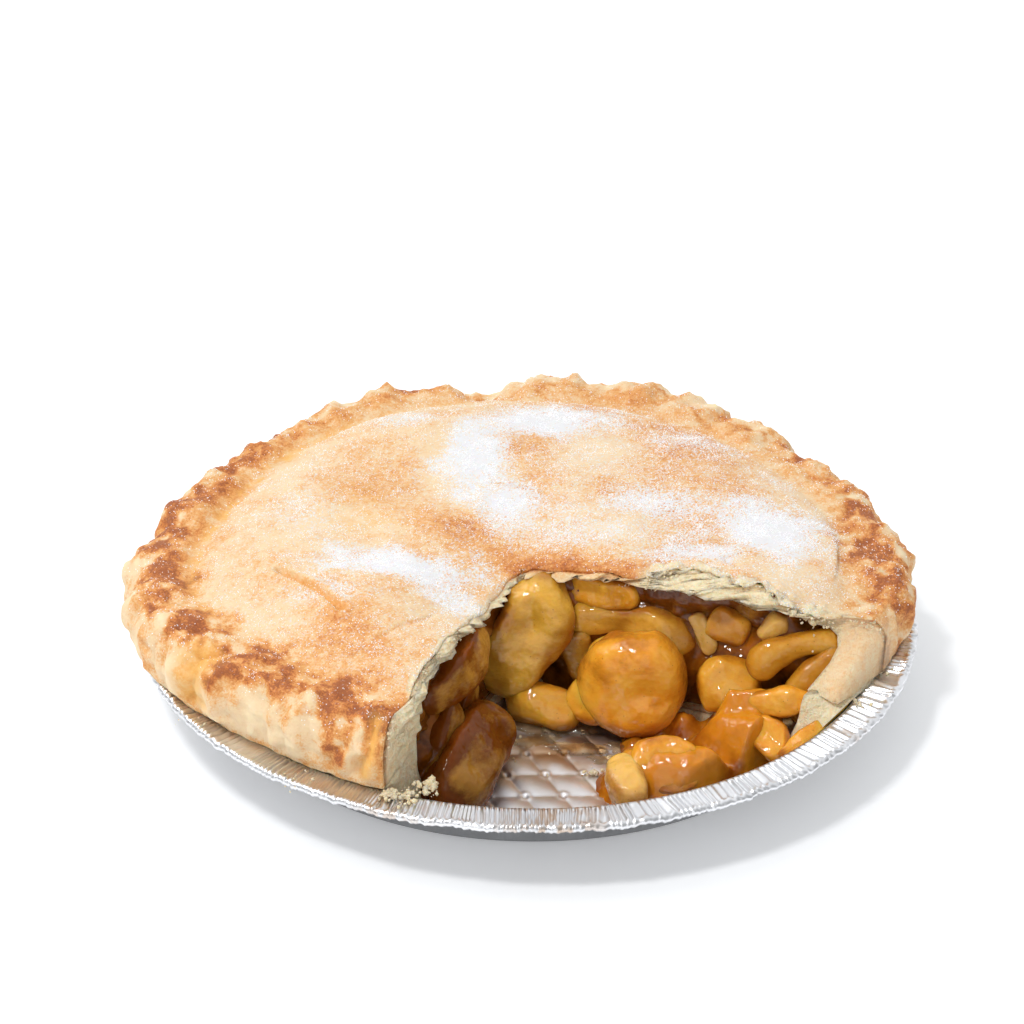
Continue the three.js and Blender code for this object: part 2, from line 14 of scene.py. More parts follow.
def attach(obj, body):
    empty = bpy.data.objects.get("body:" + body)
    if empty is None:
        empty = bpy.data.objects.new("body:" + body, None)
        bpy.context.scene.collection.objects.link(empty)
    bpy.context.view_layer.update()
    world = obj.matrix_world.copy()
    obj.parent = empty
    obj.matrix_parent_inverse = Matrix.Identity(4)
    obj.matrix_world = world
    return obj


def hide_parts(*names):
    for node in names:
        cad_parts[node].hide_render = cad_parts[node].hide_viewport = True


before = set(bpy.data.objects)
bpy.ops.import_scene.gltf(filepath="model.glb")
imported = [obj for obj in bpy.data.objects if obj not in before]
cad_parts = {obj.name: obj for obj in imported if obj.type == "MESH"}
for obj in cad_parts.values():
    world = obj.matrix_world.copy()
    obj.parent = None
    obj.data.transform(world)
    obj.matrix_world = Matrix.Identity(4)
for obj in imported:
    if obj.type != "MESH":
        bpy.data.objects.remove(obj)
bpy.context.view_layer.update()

bl_info = {
    "name": "Apple Pie in a Foil Tin",
    "version": (1, 0, 0),
    "blender": (4, 5, 0),
    "location": "View3D > Sidebar > Pie",
    "description": "Builds a cut double-crust apple pie piece by piece",
    "category": "Add Mesh",
}

MM = 0.001

# What one operator leaves for later ones: the materials, the lid's grids of points, normals
# and sugar with its underside, and the points of the slices in the right and the left cut.
MATERIALS = {}
SURFACES = {}
SLICE_POINTS = ([], [])

# ---- shape of the solids
# Sizes in millimetres and degrees. R is a radius round the tin's axis, Z a height over the
# floor, and IN a distance inwards from the crust's outline.

# The foil tin: its bead, flange and base, and the bend low in its wall.
TIN_OUTER_R = 122.0
TIN_HEIGHT = 23.8
TIN_FLANGE_R = 111.3
TIN_FLANGE_Z = 22.6
TIN_BASE_R = 93.0
TIN_CORNER_R = 98.4
TIN_CORNER_Z = 4.4
FOIL = 0.5

# The cut: its corner in plan, the directions of its two faces, how far the right face turns
# back at the rim and in the lining, and how its corner is rounded.
CORNER = (-4.7, -12.0)
CUT_RIGHT = -20.0
CUT_LEFT = 249.4
RIM_SET_BACK = 7.0
LINING_REACH = 14.5
CORNER_IN = 1.2
CORNER_TIP = 0.15
INNER_REACH = 10.0
CORNER_ROUND = 6.3
CORNER_FILLET = 5.0

# The crusts: outline, foot of the rim, seam, crest and crease, dome and thicknesses.
CRUST_R = 112.5
RIM_Z = 24.3
SEAM_Z = 26.4
CREST_Z = 42.8
CREST_DIP = 5.0
CREST_IN = 10.0
CREASE_IN = 17.0
CREASE_WIDTH = 8.0
DOME_Z = 49.0
LID = 4.4
LID_THIN = 1.6
WALL_R = 99.0
BASE_CRUST = 4.2

# The rim's folds: direction, lift and reach. A fold slants by so many degrees per millimetre.
FOLD_HALF_WIDTH = 7.2
FOLD_SLANT = 0.2
FOLDS = (
    (-16, 2, 4), (-3, 2.8, 5), (11, 2.6, 4.6), (23, 2.6, 3.8), (38.5, 3.8, 8),
    (52, 4.4, 8.6), (62.5, 6, 8), (75, 4.2, 5), (84, 4, 5.6), (99.5, 2.2, 2.2),
    (111, 3.4, 5), (121, 2.8, 4.4), (131, 1.6, 2), (143, 1.6, 1.4), (158, 3, 3.4),
    (167, 3.4, 5), (183, 2.6, 7), (194, 2.4, 4.4), (204, 2.6, 4.2), (214, 3.2, 5),
    (223, 3.2, 3.4), (234, 2.4, 2.2), (245, 2.2, 1.6),
)

# ---- small functions


def lerp(a, b, u):
    """The value a share u of the way from a to b."""
    return a + (b - a) * u


def ease(x, low, high):
    """0 below low, 1 above high, and an eased ramp between them."""
    u = np.clip((x - low) / (high - low), 0, 1)
    return u * u * (3 - 2 * u)


def bell(x, spread):
    """A bell curve, 1 at zero and falling off over the given spread."""
    return np.exp(-((x / spread) ** 2))


def turn(a, b):
    """The difference of two directions in degrees, from -180 to 180."""
    return (a - b + 540) % 360 - 180


def from_corner(t, phi):
    """The plan point at distance t from the cut corner in direction phi."""
    angle = np.radians(phi)
    return CORNER[0] + t * np.cos(angle), CORNER[1] + t * np.sin(angle)


def distance_to_radius(phi, radius):
    """The distance from the cut corner, along phi, to a circle round the tin's axis."""
    angle = np.radians(phi)
    along = CORNER[0] * np.cos(angle) + CORNER[1] * np.sin(angle)
    square = CORNER[0] ** 2 + CORNER[1] ** 2
    return -along + np.sqrt(along**2 + radius**2 - square)


def direction_of(x, y):
    """The direction of a plan point round the tin's axis, in degrees."""
    return np.degrees(np.arctan2(y, x))


def lattice_noise(points, seed):
    """Smooth noise from -1 to 1: random values on a unit lattice's corners, eased between."""
    cell = np.floor(points).astype(np.int64)
    part = points - cell
    eased = part**3 * (part * (part * 6 - 15) + 10)
    total = np.zeros(points.shape[:-1])
    for corner in np.ndindex(2, 2, 2):
        at = cell + np.array(corner)
        mixed = at[..., 0] * 73856093 ^ at[..., 1] * 19349663 ^ at[..., 2] * 83492791
        mixed = (mixed ^ (seed * 668265263 + 374761393)) & 0xFFFFFFFF
        mixed = ((mixed ^ (mixed >> 15)) * 2246822519) & 0xFFFFFFFF
        mixed = ((mixed ^ (mixed >> 13)) * 3266489917) & 0xFFFFFFFF
        value = (mixed >> 16) / 32767.5 - 1
        weight = np.prod(np.where(np.array(corner) == 1, eased, 1.0 - eased), axis=-1)
        total += value * weight
    return total


def noise(points, size, octaves, seed):
    """Noise of the given feature size: each further octave is half as large and half as deep."""
    total = 0
    for octave in range(octaves):
        total = total + lattice_noise(points * (2.0**octave / size), seed + octave) / 2.0**octave
    return total


def rows_between(at, knots, table):
    """The table's rows at places between its knots, along straight lines."""
    return np.stack([np.interp(at, knots, column) for column in table.T], axis=-1)


def out_of_cut(end):
    """The level direction out of a cut face: the right one for end 0, else the left one."""
    angle = math.radians(CUT_LEFT if end else CUT_RIGHT)
    return np.array([math.sin(angle), -math.cos(angle), 0.0]) * (-1.0 if end else 1.0)


def on_ball(polar, angle):
    """Points of a ball of radius 1 at an angle from its top and an angle round it."""
    level = np.sin(polar)
    return np.stack([level * np.cos(angle), level * np.sin(angle), np.cos(polar) + 0 * angle], axis=-1)


def off_corner(points):
    """The plan distance of points from the cut's corner."""
    return np.hypot(points[..., 0] - CORNER[0], points[..., 1] - CORNER[1])


def in_plan(x, y):
    """Points on the floor."""
    return np.stack([x, y, 0 * x], axis=-1)


def distance_to_cut(t, turned):
    """The distance to a cut face from distance t off the corner, turned by some degrees."""
    return t * np.sin(np.radians(np.minimum(turned, 90)))


def distance_to_path(x, y, path):
    """The plan distance from each point to a path of straight pieces."""
    nearest = np.full(np.shape(x), 1e9)
    for (ax, ay), (bx, by) in zip(path[:-1], path[1:]):
        length = (bx - ax) ** 2 + (by - ay) ** 2
        share = np.clip(((x - ax) * (bx - ax) + (y - ay) * (by - ay)) / length, 0, 1)
        gap = np.hypot(x - ax - share * (bx - ax), y - ay - share * (by - ay))
        nearest = np.minimum(nearest, gap)
    return nearest


def normals_of(points):
    """Unit normals of a grid of points, across its rows and columns."""
    across = np.cross(np.gradient(points, axis=0), np.gradient(points, axis=1))
    return across / np.maximum(np.linalg.norm(across, axis=-1, keepdims=True), 1e-12)


def even(share):
    """The same crowding everywhere."""
    return 1 + 0 * share


def smooth_curve(controls, count, crowd=even):
    """Points along curves through control points (Catmull-Rom), closer where crowd is larger."""
    knots = controls.shape[1]
    steps = np.linalg.norm(np.diff(controls, axis=1), axis=2).mean(axis=0)
    reach = np.concatenate([[0], np.cumsum(steps)])
    at = np.interp(spread_evenly(count, crowd) * reach[-1], reach, np.arange(knots))
    first = np.clip(at.astype(int), 0, knots - 2)
    u = at - first
    basis = np.zeros((count, knots))
    weights = (
        (-1, -0.5 * u + u**2 - 0.5 * u**3),
        (0, 1 - 2.5 * u**2 + 1.5 * u**3),
        (1, 0.5 * u + 2 * u**2 - 1.5 * u**3),
        (2, -0.5 * u**2 + 0.5 * u**3),
    )
    for step, weight in weights:
        np.add.at(basis, (np.arange(count), np.clip(first + step, 0, knots - 1)), weight)
    return np.einsum("mk,skd->smd", basis, controls)


def spread_evenly(count, crowd):
    """Shares from 0 to 1, closer together where crowd(share) is larger."""
    fine = np.linspace(0, 1, 4000)
    total = np.concatenate([[0], np.cumsum(crowd(0.5 * (fine[1:] + fine[:-1])))])
    return np.interp(np.linspace(0, total[-1], count), total, fine)


# ---- mesh making


def grid_quads(index, closed=False):
    """Quads between neighbouring rows and columns of a table of vertex numbers."""
    if closed:
        index = np.concatenate([index, index[:, :1]], axis=1)
    a, b, c, d = index[:-1, :-1], index[:-1, 1:], index[1:, 1:], index[1:, :-1]
    return np.stack([a, b, c, d], axis=-1).reshape(-1, 4)


def volume_of(points, quads):
    """The signed volume that a closed surface of quads holds."""
    a, b, c, d = (points[quads[:, i]] for i in range(4))
    first = np.einsum("ij,ij->i", a, np.cross(b, c))
    return (first + np.einsum("ij,ij->i", a, np.cross(c, d))).sum() / 6


def facing_out(points, quads):
    """The quads turned so that the closed surface faces outwards; triangles stay triangles."""
    return quads if volume_of(points, quads) > 0 else quads[:, [1, 0, 3, 2]]


def add_object(name, data):
    """A new object in the scene."""
    thing = bpy.data.objects.new(name, data)
    bpy.context.scene.collection.objects.link(thing)
    return thing


def make_piece(name, points, quads, material, nodes=(), slot=None, marks=None, smooth=True):
    """A mesh object from points in millimetres and quads; a repeated corner makes a triangle."""
    quads = facing_out(points, quads)
    mesh = bpy.data.meshes.new(name)
    triangle = quads[:, 2] == quads[:, 3]
    faces = quads[~triangle].tolist() + quads[triangle][:, :3].tolist()
    mesh.from_pydata((points * MM).tolist(), [], faces)
    for mark, values in (marks or {}).items():
        layer = mesh.attributes.new(mark, "FLOAT", "POINT")
        layer.data.foreach_set("value", np.ascontiguousarray(values, dtype=np.float32))
    mesh.polygons.foreach_set("use_smooth", np.full(len(mesh.polygons), smooth))
    mesh.materials.append(material)
    mesh.update()
    piece = add_object(name, mesh)
    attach(piece, "root")
    if nodes:
        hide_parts(*nodes)


def section_bulge(share, near, far, depth):
    """How far the carried section bends away from straight lines between two of its points."""
    middle = near + (far - near) * depth[..., None]
    start = pastry_point(share, near[..., 0], near[..., 1])
    end = pastry_point(share, far[..., 0], far[..., 1], INNER_REACH)
    reach = lerp(LINING_REACH, INNER_REACH, depth)
    straight = start + (end - start) * depth[..., None]
    return pastry_point(share, middle[..., 0], middle[..., 1], reach) - straight


def carried_solid(outer, inner, layers, swell, seam=None):
    """A closed solid between two grids of section curves, (stations, points, 3) each.

    The outer curves have a whole number of steps for each step of the inner ones. The two
    cut faces, at the first and last station, are grids of their own: the straight line from
    the outer curve to the inner one in each column, moved by swell(end, share, column).
    seam(depth) moves the strip that joins the two first columns in the same way. Returns
    the points, the quads and, for each point, its depth from the outer surface (0) to the
    inner surface (1) and whether it lies on a cut face.
    """
    stations, columns = outer.shape[:2]
    inner_columns = inner.shape[1]
    ratio = (columns - 1) // (inner_columns - 1)
    depth = np.linspace(0, 1, layers + 1)[1:-1]
    sides = []
    for end in (0, -1):
        low = outer[:, end, None, :]
        high = inner[:, end, None, :]
        sides.append(low + (high - low) * depth[None, :, None])
    if seam:
        sides[0] = sides[0] + seam(depth)
    ring = np.concatenate([outer, sides[1], inner[:, ::-1], sides[0][:, ::-1]], axis=1)
    points = [ring.reshape(-1, 3)]
    depths = np.concatenate([np.zeros(columns), depth, np.ones(inner_columns), depth[::-1]])
    depth_marks = [np.tile(depths, stations)]
    index = np.arange(ring.shape[0] * ring.shape[1]).reshape(ring.shape[:2])
    quads = [grid_quads(index, closed=True)]
    on_cut = np.zeros(ring.shape[:2])
    on_cut[0] = on_cut[-1] = 1
    cut_marks = [on_cut.ravel()]
    offset = index.size
    column_share = np.linspace(0, 1, columns)
    for station, flip in ((0, False), (stations - 1, True)):
        far = rows_between(np.arange(columns) / ratio, np.arange(inner_columns), inner[station])
        near = outer[station]
        middle = near[None] + (far - near)[None] * depth[:, None, None]
        middle = middle[:, 1:-1] + swell(station, depth[:, None], column_share[None, 1:-1])
        count = middle.shape[0] * middle.shape[1]
        rows = np.zeros((layers, columns), dtype=int)
        rows[0] = index[station, :columns]
        rows[1:, 1:-1] = offset + np.arange(count).reshape(layers - 1, columns - 2)
        rows[1:, -1] = index[station, columns:columns + layers - 1]
        rows[1:, 0] = index[station, columns + layers - 1 + inner_columns:][::-1]
        last = index[station, columns + layers - 1:columns + layers - 1 + inner_columns][::-1]
        face = grid_quads(rows)
        steps = np.arange(columns - 1)
        tips = last[steps // ratio]
        fans = np.stack([rows[-1][steps], rows[-1][steps + 1], tips, tips], axis=1)
        joins = np.arange(1, inner_columns)
        links = np.stack([rows[-1][joins * ratio], last[joins], last[joins - 1], last[joins - 1]], axis=1)
        face = np.concatenate([face, fans, links])
        reversed_face = np.where(
            (face[:, 2] == face[:, 3])[:, None], face[:, [1, 0, 2, 2]], face[:, ::-1]
        )
        quads.append(reversed_face if flip else face)
        points.append(middle.reshape(-1, 3))
        depth_marks.append(np.repeat(depth, columns - 2))
        cut_marks.append(np.ones(count))
        offset += count
    return (
        np.concatenate(points),
        np.concatenate(quads),
        np.concatenate(depth_marks),
        np.concatenate(cut_marks),
    )


# ---- materials


def linear(colour):
    """A display colour's red, green and blue as linear light."""
    values = np.asarray(colour[:3], dtype=float)
    return tuple(np.where(values <= 0.04045, values / 12.92, ((values + 0.055) / 1.055) ** 2.4))


class Recipe:
    """A node material: a Principled shader and short calls that add and join nodes."""

    def __init__(self, name, **sockets):
        self.material = bpy.data.materials.new(name)
        self.material.use_nodes = True
        self.nodes = self.material.node_tree.nodes
        self.links = self.material.node_tree.links
        self.shader = self.nodes["Principled BSDF"]
        for socket, value in sockets.items():
            self.shader.inputs[socket.replace("_", " ")].default_value = value
        self.place = self.nodes.new("ShaderNodeTexCoord").outputs["Object"]

    def join(self, source, target):
        """Joins an output to an input."""
        self.links.new(source, target)

    def mark(self, name):
        """The value of one of the mesh's marks."""
        node = self.nodes.new("ShaderNodeAttribute")
        node.attribute_name = name
        return node.outputs["Fac"]

    def noise(self, size, detail=3, roughness=0.55, stretch=None):
        """Noise with features of a size in millimetres."""
        node = self.nodes.new("ShaderNodeTexNoise")
        node.inputs["Scale"].default_value = 1.0 / (size * MM)
        node.inputs["Detail"].default_value = detail
        node.inputs["Roughness"].default_value = roughness
        place = self.place
        if stretch:
            mapping = self.nodes.new("ShaderNodeMapping")
            mapping.inputs["Scale"].default_value = stretch
            self.join(place, mapping.inputs["Vector"])
            place = mapping.outputs["Vector"]
        self.join(place, node.inputs["Vector"])
        return node.outputs["Fac"]

    def cells(self, size, output="Distance"):
        """Cells of a size in millimetres: the distance from their middles, or their colours."""
        node = self.nodes.new("ShaderNodeTexVoronoi")
        node.inputs["Scale"].default_value = 1.0 / (size * MM)
        self.join(self.place, node.inputs["Vector"])
        return node.outputs[output]

    def maths(self, operation, *values, clamp=False):
        """One step of arithmetic on numbers and outputs."""
        node = self.nodes.new("ShaderNodeMath")
        node.operation = operation
        node.use_clamp = clamp
        for socket, value in zip(node.inputs, values):
            if isinstance(value, (int, float)):
                socket.default_value = value
            else:
                self.join(value, socket)
        return node.outputs[0]

    def centred(self, value, depth):
        """A noise moved to lie round zero and scaled to a depth."""
        return self.maths("MULTIPLY", self.maths("SUBTRACT", value, 0.5), 2 * depth)

    def ramp(self, value, *stops):
        """Colours picked by a value between stops of (position, display colour)."""
        node = self.nodes.new("ShaderNodeValToRGB")
        elements = node.color_ramp.elements
        while len(elements) < len(stops):
            elements.new(0.5)
        for element, (position, colour) in zip(elements, stops):
            element.position = position
            element.color = (*linear(colour), 1)
        self.join(value, node.inputs["Fac"])
        return node.outputs["Color"]

    def mix(self, share, first, second):
        """A share of the second colour over the first; a colour is an output or a setting."""
        node = self.nodes.new("ShaderNodeMix")
        node.data_type = "RGBA"
        self.join(share, node.inputs["Factor"])
        for socket, colour in zip(node.inputs[6:8], (first, second)):
            if isinstance(colour, bpy.types.NodeSocket):
                self.join(colour, socket)
            else:
                socket.default_value = (*linear(colour), 1.0)
        return node.outputs[2]

    def colour(self, source):
        """Makes an output the base colour."""
        self.join(source, self.shader.inputs["Base Color"])

    def bump(self, *heights, socket="Normal"):
        """Chained bumps from (height, strength, distance in millimetres)."""
        normal = None
        for height, strength, distance in heights:
            node = self.nodes.new("ShaderNodeBump")
            node.inputs["Strength"].default_value = strength
            node.inputs["Distance"].default_value = distance * MM
            self.join(height, node.inputs["Height"])
            if normal:
                self.join(normal, node.inputs["Normal"])
            normal = node.outputs["Normal"]
        self.join(normal, self.shader.inputs[socket])


def looks():
    """The settings that hold the colours."""
    return bpy.context.scene.pie_colours


def sizes():
    """The settings that hold the amounts of sugar and crumbs."""
    return bpy.context.scene.pie_sizes


def baked_crust():
    """Short pastry: pale to deep brown by how baked it is and by painted shade, with sugar dust and crumbly
    cuts.
    """
    tones = looks()
    crust = Recipe("baked_crust", Roughness=0.62, Subsurface_Weight=0.35, Subsurface_Scale=0.003)
    crust.shader.inputs["Subsurface Radius"].default_value = (1.0, 0.6, 0.35)
    broad = crust.centred(crust.noise(12, 5, 0.6), 0.25)
    fine = crust.centred(crust.noise(2.2, 5, 0.7), 0.5)
    grit = crust.centred(crust.noise(0.6, 2, 0.6), 0.42)
    uneven = crust.maths("MULTIPLY_ADD", crust.mark("bake"), 1.2, 0.22)
    spread = crust.maths("ADD", crust.maths("ADD", broad, fine), grit)
    bake = crust.maths("MULTIPLY_ADD", spread, uneven, crust.mark("bake"), clamp=True)
    colour = crust.ramp(
        bake, (0, tones.crust_pale), (0.28, tones.crust_cream), (0.48, tones.crust_golden),
        (0.74, tones.crust_brown), (1, tones.crust_deep),
    )
    colour = crust.mix(crust.maths("MULTIPLY", crust.mark("butter"), 0.75), colour, tones.butter)
    crumb = crust.noise(1.6, 4, 0.75)
    flecks = crust.ramp(crumb, (0.34, tones.crumb_shade), (0.62, tones.crumb))
    colour = crust.mix(crust.mark("crumb"), colour, flecks)
    grain = crust.cells(0.42, output="Color")
    patch = crust.centred(crust.noise(3, 4, 0.7), 0.6)
    dust = crust.maths("SUBTRACT", crust.maths("MULTIPLY", crust.mark("sugar"), 1.2), grain)
    dust = crust.maths("ADD", dust, crust.maths("MULTIPLY", patch, crust.mark("sugar")))
    dust = crust.maths("MULTIPLY_ADD", dust, 2.6, 0.20, clamp=True)
    colour = crust.mix(crust.maths("MULTIPLY", dust, 0.95), colour, tones.sugar)
    crust.colour(colour)
    crumbly = crust.maths("MULTIPLY", crust.noise(2.4, 4, 0.7), crust.mark("crumb"))
    crust.bump(
        (crust.noise(5, 4, 0.6), 0.55, 1), (fine, 0.7, 0.7), (grit, 0.6, 0.25), (dust, 0.5, 0.12),
        (crumbly, 1, 1.4),
    )
    return crust.material


def cooked_apple(name, tone, dark, wet=1.0):
    """Soft glazed apple: translucent flesh, darker at its edges and mixed towards the dark glaze by its mark
    of syrup and painted shade, under an uneven coat of syrup.
    """
    apple = Recipe(
        name, Roughness=0.35, Specular_IOR_Level=0.0, Subsurface_Weight=0.6, Subsurface_Scale=0.003,
        Coat_Weight=wet, Coat_Roughness=0.02, Coat_IOR=1.5,
    )
    apple.shader.inputs["Subsurface Radius"].default_value = (1.0, 0.5, 0.15)
    broad = apple.noise(10, 2, 0.5)
    fibre = apple.noise(1.4, 3, 0.65, (1, 1, 2))
    mottle = apple.maths("ADD", apple.maths("MULTIPLY", broad, 0.76), apple.maths("MULTIPLY", fibre, 0.24))
    mottle = apple.maths("MULTIPLY_ADD", apple.mark("edge"), -0.33, mottle)
    bright = tuple(lerp(np.array(tone), np.array((1, 0.80, 0.36)), 0.5))
    colour = apple.ramp(mottle, (0.10, dark), (0.40, tone), (0.62, bright))
    speck = apple.maths("LESS_THAN", apple.cells(2.4), 0.09)
    colour = apple.mix(apple.maths("MULTIPLY", speck, 0.35), colour, looks().spice)
    # Painted shade: the mesh mark read here darkens the flesh towards the dark glaze where slices lie deep
    # or low in the cut.
    colour = apple.mix(apple.mark("hollow"), colour, looks().dark_glaze_and_shade)
    apple.colour(colour)
    soft = (apple.noise(6, 2, 0.5), 0.8, 1.5)
    apple.bump(soft, (apple.noise(1.6, 3, 0.6), 0.5, 0.3))
    apple.bump(soft, (apple.noise(3.4, 2, 0.5), 0.6, 0.8), socket="Coat Normal")
    return apple.material


def syrup(name, tone, dark, clear=0.0, wet=0.55):
    """Syrup: deep and glossy, darker where it holds no apple; clear lets light through."""
    glaze = Recipe(
        name, Roughness=0.05 + 0.25 * (1.0 - clear), IOR=1.42, Subsurface_Weight=0.5 * (1.0 - clear),
        Subsurface_Scale=0.003, Specular_IOR_Level=0.5 * clear, Coat_Weight=wet, Coat_Roughness=0.015,
        Transmission_Weight=clear,
    )
    glaze.shader.inputs["Subsurface Radius"].default_value = (1.0, 0.4, 0.08)
    mottle = glaze.maths("MULTIPLY_ADD", glaze.mark("flesh"), 0.3, glaze.noise(9, 3, 0.55))
    glaze.colour(glaze.ramp(mottle, (0.35, dark), (0.72, tone)))
    soft = (glaze.noise(6, 2, 0.5), 0.4, 1.2)
    glaze.bump(soft, (glaze.noise(2, 2, 0.5), 0.25, 0.3))
    glaze.bump(soft, (glaze.noise(3.2, 2, 0.5), 0.6, 0.9), socket="Coat Normal")
    return glaze.material


def bright_foil(name, roughness, shade=1.0):
    """Aluminium foil: bright metal with faint wrinkles and baked-on syrup; a shade below 1 darkens its
    colour as painted shade.
    """
    foil = Recipe(name, Metallic=1.0, Roughness=roughness)
    tone = np.array(looks().foil) * shade
    patches = foil.noise(14, 3, 0.5)
    colour = foil.ramp(patches, (0.3, tuple(tone * 0.93)), (0.7, tuple(tone)))
    foil.colour(foil.mix(foil.mark("stain"), colour, looks().foil_stain))
    foil.bump((foil.noise(3.5, 3, 0.6), 0.15, 0.3), (foil.noise(0.8, 3, 0.6), 0.06, 0.08))
    return foil.material


def sugar_crystal():
    """Coarse white sugar: hard and a little clear, with a faint glow of painted light that flattens the
    shading of its facets.
    """
    # Painted light: the grains glow faintly, though they are no lamp.
    grain = Recipe("sugar_crystal", Roughness=0.5, IOR=1.5, Emission_Strength=0.28)
    grain.shader.inputs["Emission Color"].default_value = (1.0, 0.98, 0.95, 1.0)
    tone = grain.noise(0.9, 1)
    grain.colour(grain.ramp(tone, (0.3, tuple(np.array(looks().sugar[:3]) * 0.93)), (0.7, looks().sugar)))
    return grain.material


# ---- pastry shape


def rim_outline(direction):
    """Radius of the crimped rim's outline: wide at the left and at the right cut."""
    left = 9 * bell(turn(direction, 197), 20)
    right = 4 * bell(turn(direction, -12), 21)
    back = 2 * bell(turn(direction, 35), 20)
    return CRUST_R + left + right - back


def folds(outline_direction, inward):
    """Lift and reach of the folds: bells side by side, blended by the cube root of their cubes."""
    direction = outline_direction - FOLD_SLANT * inward
    lift = np.zeros_like(direction)
    reach = np.zeros_like(direction)
    for centre, fold_lift, fold_reach in FOLDS:
        pinch = bell(turn(direction, centre), 0.78 * FOLD_HALF_WIDTH)
        lift = lift + (fold_lift * pinch) ** 3
        reach = reach + (fold_reach * pinch) ** 3
    return np.cbrt(lift), np.cbrt(reach)


def distance_to_outline(phi):
    """The distance from the cut corner to the outline along phi, by a few corrections."""
    t = np.full_like(phi, CRUST_R)
    for _ in range(6):
        x, y = from_corner(t, phi)
        t = t + rim_outline(direction_of(x, y)) - np.hypot(x, y)
    return t


def dome_height(x, y):
    """Height of the dome: level, sagging beside the left cut and swelling near its rim."""
    angle = math.radians(CUT_LEFT)
    dx, dy = x - CORNER[0], y - CORNER[1]
    along = dx * math.cos(angle) + dy * math.sin(angle)
    across = dx * math.sin(angle) - dy * math.cos(angle)
    sag = 6.6 * bell(along - 20, 34) * bell(across, 19)
    swell = 2.2 * bell(along - 72, 15) * bell(across, 24)
    waves = 0.9 * np.sin(0.062 * x + 0.8) * np.cos(0.055 * y - 0.6)
    return DOME_Z - sag + swell + waves + 0.6 * np.sin(0.11 * y + 0.05 * x + 2.1)


def lid_thickness(x, y):
    """Thickness of the lid, thinner beside the right cut."""
    return LID - LID_THIN * bell(turn(direction_of(x - CORNER[0], y - CORNER[1]), CUT_RIGHT), 45)


def pastry_point(share, t, z, reach=LINING_REACH):
    """The point at distance t and height z, a share of the way round from cut to cut."""
    fillet = 42 * np.exp(-t / CORNER_FILLET)
    low = 1 - ease(z, RIM_Z, CREST_Z)
    in_wall = ease(t, 84, 96) * (1 - ease(t, 108, 114))
    rim = RIM_SET_BACK * ease(t, 84, 112)
    right = CUT_RIGHT - fillet + rim - reach * low * in_wall
    phi = lerp(right, CUT_LEFT + fillet, share)
    section = lerp(CUT_RIGHT, CUT_LEFT, share)
    follow = distance_to_radius(phi, TIN_FLANGE_R) / distance_to_radius(section, TIN_FLANGE_R)
    x, y = from_corner(t * follow, phi)
    return np.stack([x, y, z], axis=-1)


def wall_radius(direction):
    """Inner radius of the pastry wall, thicker beside the left cut."""
    return WALL_R - 10 * bell(turn(direction, 250), 36)


def wall_flare(direction):
    """How far that wall leans outwards towards the lid beside the right cut."""
    return 5 * bell(turn(direction, -20), 30)


def stacked(*pairs):
    """Control points (stations, points, 2) from pairs of distance and height arrays."""
    width = max(np.size(value) for pair in pairs for value in pair)
    full = [[np.broadcast_to(value, (width,)) for value in pair] for pair in pairs]
    return np.transpose(np.array(full), (2, 0, 1))


# Faintly browned places on the lid: plan x, y, spread in millimetres, amount.
BROWN_SPOTS = (
    (-48, 25, 17, 0.16), (-51, -62, 15, 0.12), (49, 48, 26, 0.14), (-19, 4, 9, 0.20),
    (13, -5, 12, 0.14), (-78, -20, 12, 0.10), (20, 92, 16, 0.08), (-85, 20, 14, 0.08),
    (36, -20, 18, 0.12), (70, 22, 12, 0.12),
)
# Dark brown patches of the rim: direction, place (see rim_place), half length round the rim,
# half length across it, amount.
RIM_PATCHES = (
    (240.5, 8, 10, 12, 1), (242.5, -5, 3.5, 6, 0.9), (236, 16, 7, 6, 0.7), (221, 11, 10, 10, 1.1),
    (227, 12, 7, 7, 0.8), (207, 11, 9, 9, 1), (200, 6, 8, 6, 0.8), (190, 11, 12, 8, 1),
    (178, 4, 17, 11, 1), (167, 2, 11, 8, 0.9), (153, 4, 20, 11, 1), (139, 3, 12, 7, 0.8),
    (129, 4, 8, 5, 0.6), (119, 4, 9, 5, 0.5), (111, 4, 9, 4, 0.6), (99, 5, 5, 3, 0.35),
    (85, 5, 7, 4, 0.5), (75, 4, 6, 4, 0.45), (63, 5, 5, 6, 0.75), (51.5, 4, 9, 7, 0.8),
    (41, 3, 8, 6, 0.7), (31, 4, 9, 7, 0.75), (20, 4, 9, 7, 0.85), (13, 10, 6, 5, 1.2),
    (2, 12, 17, 12, 0.95), (-7, 4, 14, 12, 0.8), (-14, -2, 13, 13, 0.6), (250, 4, 5, 11, 0.8),
    (-19, -4, 6, 15, 0.9),
)
# Sugar lying on the lid: plan x, y, spread along x, spread along y, amount.
SUGAR_DRIFTS = (
    (6, 74, 25, 15, 1), (-17, 46, 15, 28, 0.95), (-6, 18, 12, 17, 0.9), (-36, -22, 26, 10, 1),
    (-24, -34, 12, 10, 0.75), (75, 3, 21, 20, 1.05), (36, 17, 26, 12, 0.7), (56, 62, 22, 14, 0.55),
    (-58, -40, 16, 9, 0.5), (-39, 71, 18, 10, 0.55), (-70, 10, 20, 24, 0.38), (20, 0, 36, 16, 0.5),
    (88, -6, 12, 12, 0.5), (40, 88, 28, 10, 0.5), (50, -14, 22, 11, 0.75), (84, 40, 14, 16, 0.45),
)
